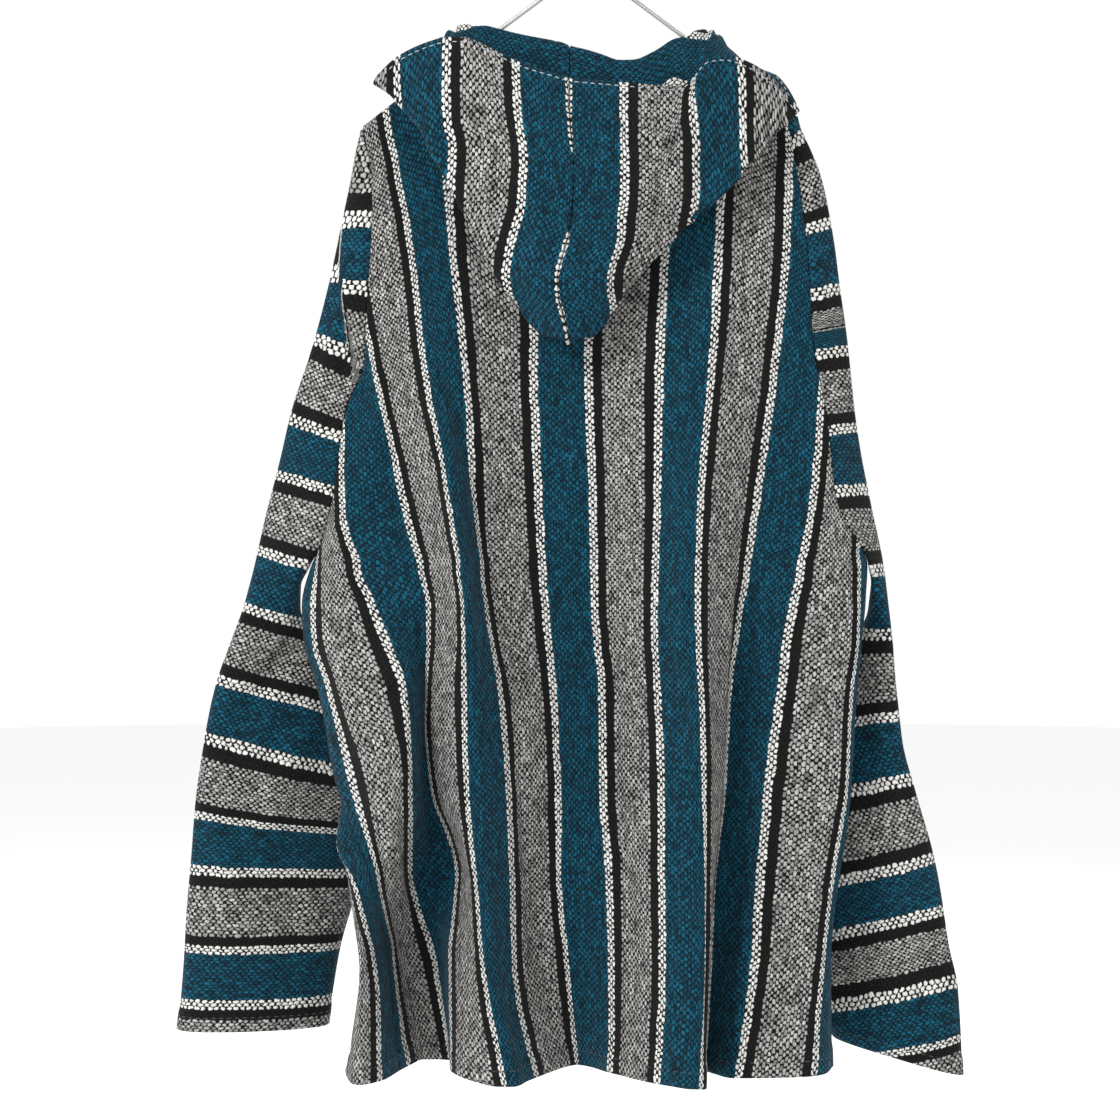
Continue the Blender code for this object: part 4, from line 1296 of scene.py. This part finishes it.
def weave_group():
    tree = bpy.data.node_groups.new("jerga_weave", "ShaderNodeTree")
    face = tree.interface
    face.new_socket("Cloth", in_out="INPUT", socket_type="NodeSocketVector")
    face.new_socket("Color", in_out="OUTPUT", socket_type="NodeSocketColor")
    face.new_socket("Height", in_out="OUTPUT", socket_type="NodeSocketFloat")
    face.new_socket("Roughness", in_out="OUTPUT", socket_type="NodeSocketFloat")
    sums = Sums(tree)
    cloth = sums.node("NodeGroupInput").outputs[0]

    # The place on the cloth, in millimetres, shaken by wide and by small waves in the yarns.
    place = sums.node("ShaderNodeSeparateXYZ", Vector=cloth)
    across = sums("MULTIPLY", place.outputs[0], 1 / MM)
    along = sums("MULTIPLY", place.outputs[1], 1 / MM)
    for scale, detail, much in ((55.0, 2.0, 3.0), (420.0, 1.0, 1.9)):
        noise = sums.node("ShaderNodeTexNoise", Vector=cloth, Scale=scale, Detail=detail)
        noise = sums.parts(noise.outputs["Color"])
        across = sums.shaken(across, noise[0], much)
        along = sums.shaken(along, noise[1], much * 2)

    # The number of the warp end and of the pick, and how far the place is from their middles.
    ends = sums("ADD", sums("DIVIDE", across, END_WIDTH), 0.5)
    end = sums("FLOOR", ends)
    beside = sums("SUBTRACT", sums("SUBTRACT", ends, end), 0.5)
    odd = sums("MULTIPLY", sums("FLOORED_MODULO", end, 2.0), 0.5)
    picks = sums("ADD", sums("DIVIDE", along, 2 * PICK), odd)
    pick = sums("FLOOR", picks)
    above = sums("ABSOLUTE", sums("SUBTRACT", sums("SUBTRACT", picks, pick), 0.5))

    # How far the place is inside the oval of the warp's float or of the weft's.
    def oval(u, half_u, v, half_v):
        u = sums("POWER", sums("ABSOLUTE", sums("DIVIDE", u, half_u)), 2.4)
        v = sums("POWER", sums("DIVIDE", v, half_v), 2.2)
        return sums("ADD", u, v)

    spot = sums.node("ShaderNodeCombineXYZ", X=end, Y=pick, Z=odd)
    own = sums.node("ShaderNodeTexWhiteNoise", Vector=spot.outputs[0]).outputs
    size = sums.parts(own["Color"])[1]
    warp = oval(beside, 0.54, above, 0.375)
    warp = sums("MULTIPLY", warp, sums.between(size, 0.0, 1.0, 0.8, 1.4))
    weft = oval(beside, 0.62, sums("SUBTRACT", 0.5, above), 0.19)
    warp_up, weft_up = sums.bulge(warp), sums.bulge(weft)
    is_warp = sums.between(warp, 1.12, 0.82, soft=True)

    # The stripe that the end belongs to gives the colour of its yarn.
    kind = sums("DIVIDE", sums("ADD", sums("FLOORED_MODULO", end, float(ENDS)), 0.5), float(ENDS))
    stops = [(first / ENDS, *yarn) for first, yarn in STRIPES.items()]
    yarn = ramp(sums, kind, [(first, colour) for first, colour, _, _ in stops])
    traits = ramp(sums, kind, [(first, (vary, gap, 0)) for first, _, vary, gap in stops])
    vary, gap, _ = sums.parts(traits)

    # Each float is lighter or darker by itself and along its strand.
    strand = sums.node("ShaderNodeCombineXYZ", X=end, Y=sums("MULTIPLY", along, 0.035), Z=3.0)
    streak = sums.node("ShaderNodeTexNoise", Vector=strand.outputs[0], Scale=1.0, Detail=2.0)
    streak = sums.between(streak.outputs["Fac"], 0.3, 0.7, 0.0, 0.9)
    light = sums("ADD", sums("MULTIPLY", own["Value"], 1.1), streak)
    light = sums("ADD", sums("MULTIPLY", sums("SUBTRACT", light, 1.0), vary), 1.0)
    # Painted shade in the weave's hollows: floats darken towards their edges, gaps in the holes
    # between threads.
    tone_and_painted_shade = sums("MULTIPLY", light, sums.between(warp_up, 0.0, 0.9, 0.5, 1.0))
    gap = sums("MULTIPLY", gap, sums.between(weft_up, 0.0, 1.0, 0.5, 1.2))

    bright = sums.node("ShaderNodeMix", data_type="FLOAT")
    sums.put(bright.inputs[0], is_warp)
    sums.put(bright.inputs[2], gap)
    sums.put(bright.inputs[3], tone_and_painted_shade)
    colour = sums.node("ShaderNodeVectorMath", operation="SCALE")
    sums.put(colour.inputs[0], yarn)
    sums.put(colour.inputs["Scale"], bright.outputs[0])
    over_weft = sums.node("ShaderNodeVectorMath", operation="ADD")
    sums.put(over_weft.inputs[0], colour.outputs[0])
    sums.put(over_weft.inputs[1], WEFT_COLOUR)

    # The relief: the floats' round backs and a fine fuzz.
    height = sums("MAXIMUM", warp_up, sums("MULTIPLY", weft_up, 0.7))
    fuzz = sums.node("ShaderNodeTexNoise", Vector=cloth, Scale=1600.0, Detail=2.0)
    height = sums("ADD", height, sums("MULTIPLY", fuzz.outputs["Fac"], 0.25))
    rough = sums.between(height, 0.0, 1.2, 1.0, 0.82)
    sums.node("NodeGroupOutput", Color=over_weft.outputs[0], Height=height, Roughness=rough)
    return tree


weave = weave_group()
print("weave nodes:", len(weave.nodes))


# %% The cloth's finish
def cloth_finish(name):
    finish, shader = new_finish(name)
    sums = Sums(finish.node_tree)
    place = sums.node("ShaderNodeUVMap", uv_map="cloth")
    woven = sums.node("ShaderNodeGroup", node_tree=weave)
    sums.put(woven.inputs["Cloth"], place.outputs["UV"])
    relief = sums.node(
        "ShaderNodeBump", Strength=0.8, Distance=0.9 * MM, Height=woven.outputs["Height"]
    )
    sums.put(shader["Base Color"], woven.outputs["Color"])
    sums.put(shader["Roughness"], woven.outputs["Roughness"])
    sums.put(shader["Normal"], relief.outputs["Normal"])
    sums.put(shader["Specular IOR Level"], 0.07)
    sums.put(shader["Sheen Weight"], 0.05)
    sums.put(shader["Sheen Roughness"], 0.5)
    return finish


def paint(piece, finish):
    piece.data.materials.clear()
    piece.data.materials.append(finish)


jerga = cloth_finish("jerga_cloth_woven")
woven_pieces = [piece for _, (piece, _, _), _ in SEWN_EDGES]
for piece in woven_pieces:
    paint(piece, jerga)
pale_thread = plain_finish("pale_thread", (0.34, 0.38, 0.40), 0.7, sheen=0.2)
dark_thread = plain_finish("dark_thread", (0.02, 0.03, 0.035), 0.7, sheen=0.2)
for seam in sewn:
    paint(seam, pale_thread if seam.name.startswith("hood") else dark_thread)
print("woven pieces:", len(woven_pieces), "rows of stitches:", len(sewn))

# %% [markdown]
# ## The wire's finish
# Bright steel, drawn and a little worn: fine scratches and small changes in gloss.

# %% The wire's finish
DARK_STEEL, LIGHT_STEEL = (0.40, 0.39, 0.37, 1), (0.66, 0.65, 0.63, 1)
steel, shader = new_finish("drawn_steel")
sums = Sums(steel.node_tree)
place = sums.node("ShaderNodeTexCoord").outputs["Object"]
halves = []
for scale, detail in ((900.0, 4.0), (35.0, 3.0)):  # the scratches, and the changes in gloss
    noise = sums.node("ShaderNodeTexNoise", Vector=place, Scale=scale, Detail=detail)
    halves.append(sums("MULTIPLY", noise.outputs["Fac"], 0.5))
mixed = sums("ADD", *halves)
sums.put(shader["Roughness"], sums.between(mixed, 0.3, 0.7, 0.16, 0.42))
tone = sums.node("ShaderNodeMix", data_type="RGBA")
for socket, value in ((0, mixed), (6, DARK_STEEL), (7, LIGHT_STEEL)):
    sums.put(tone.inputs[socket], value)
sums.put(shader["Base Color"], tone.outputs[2])
sums.put(shader["Metallic"], 1.0)
paint(hanger, steel)
print("steel nodes:", len(steel.node_tree.nodes))
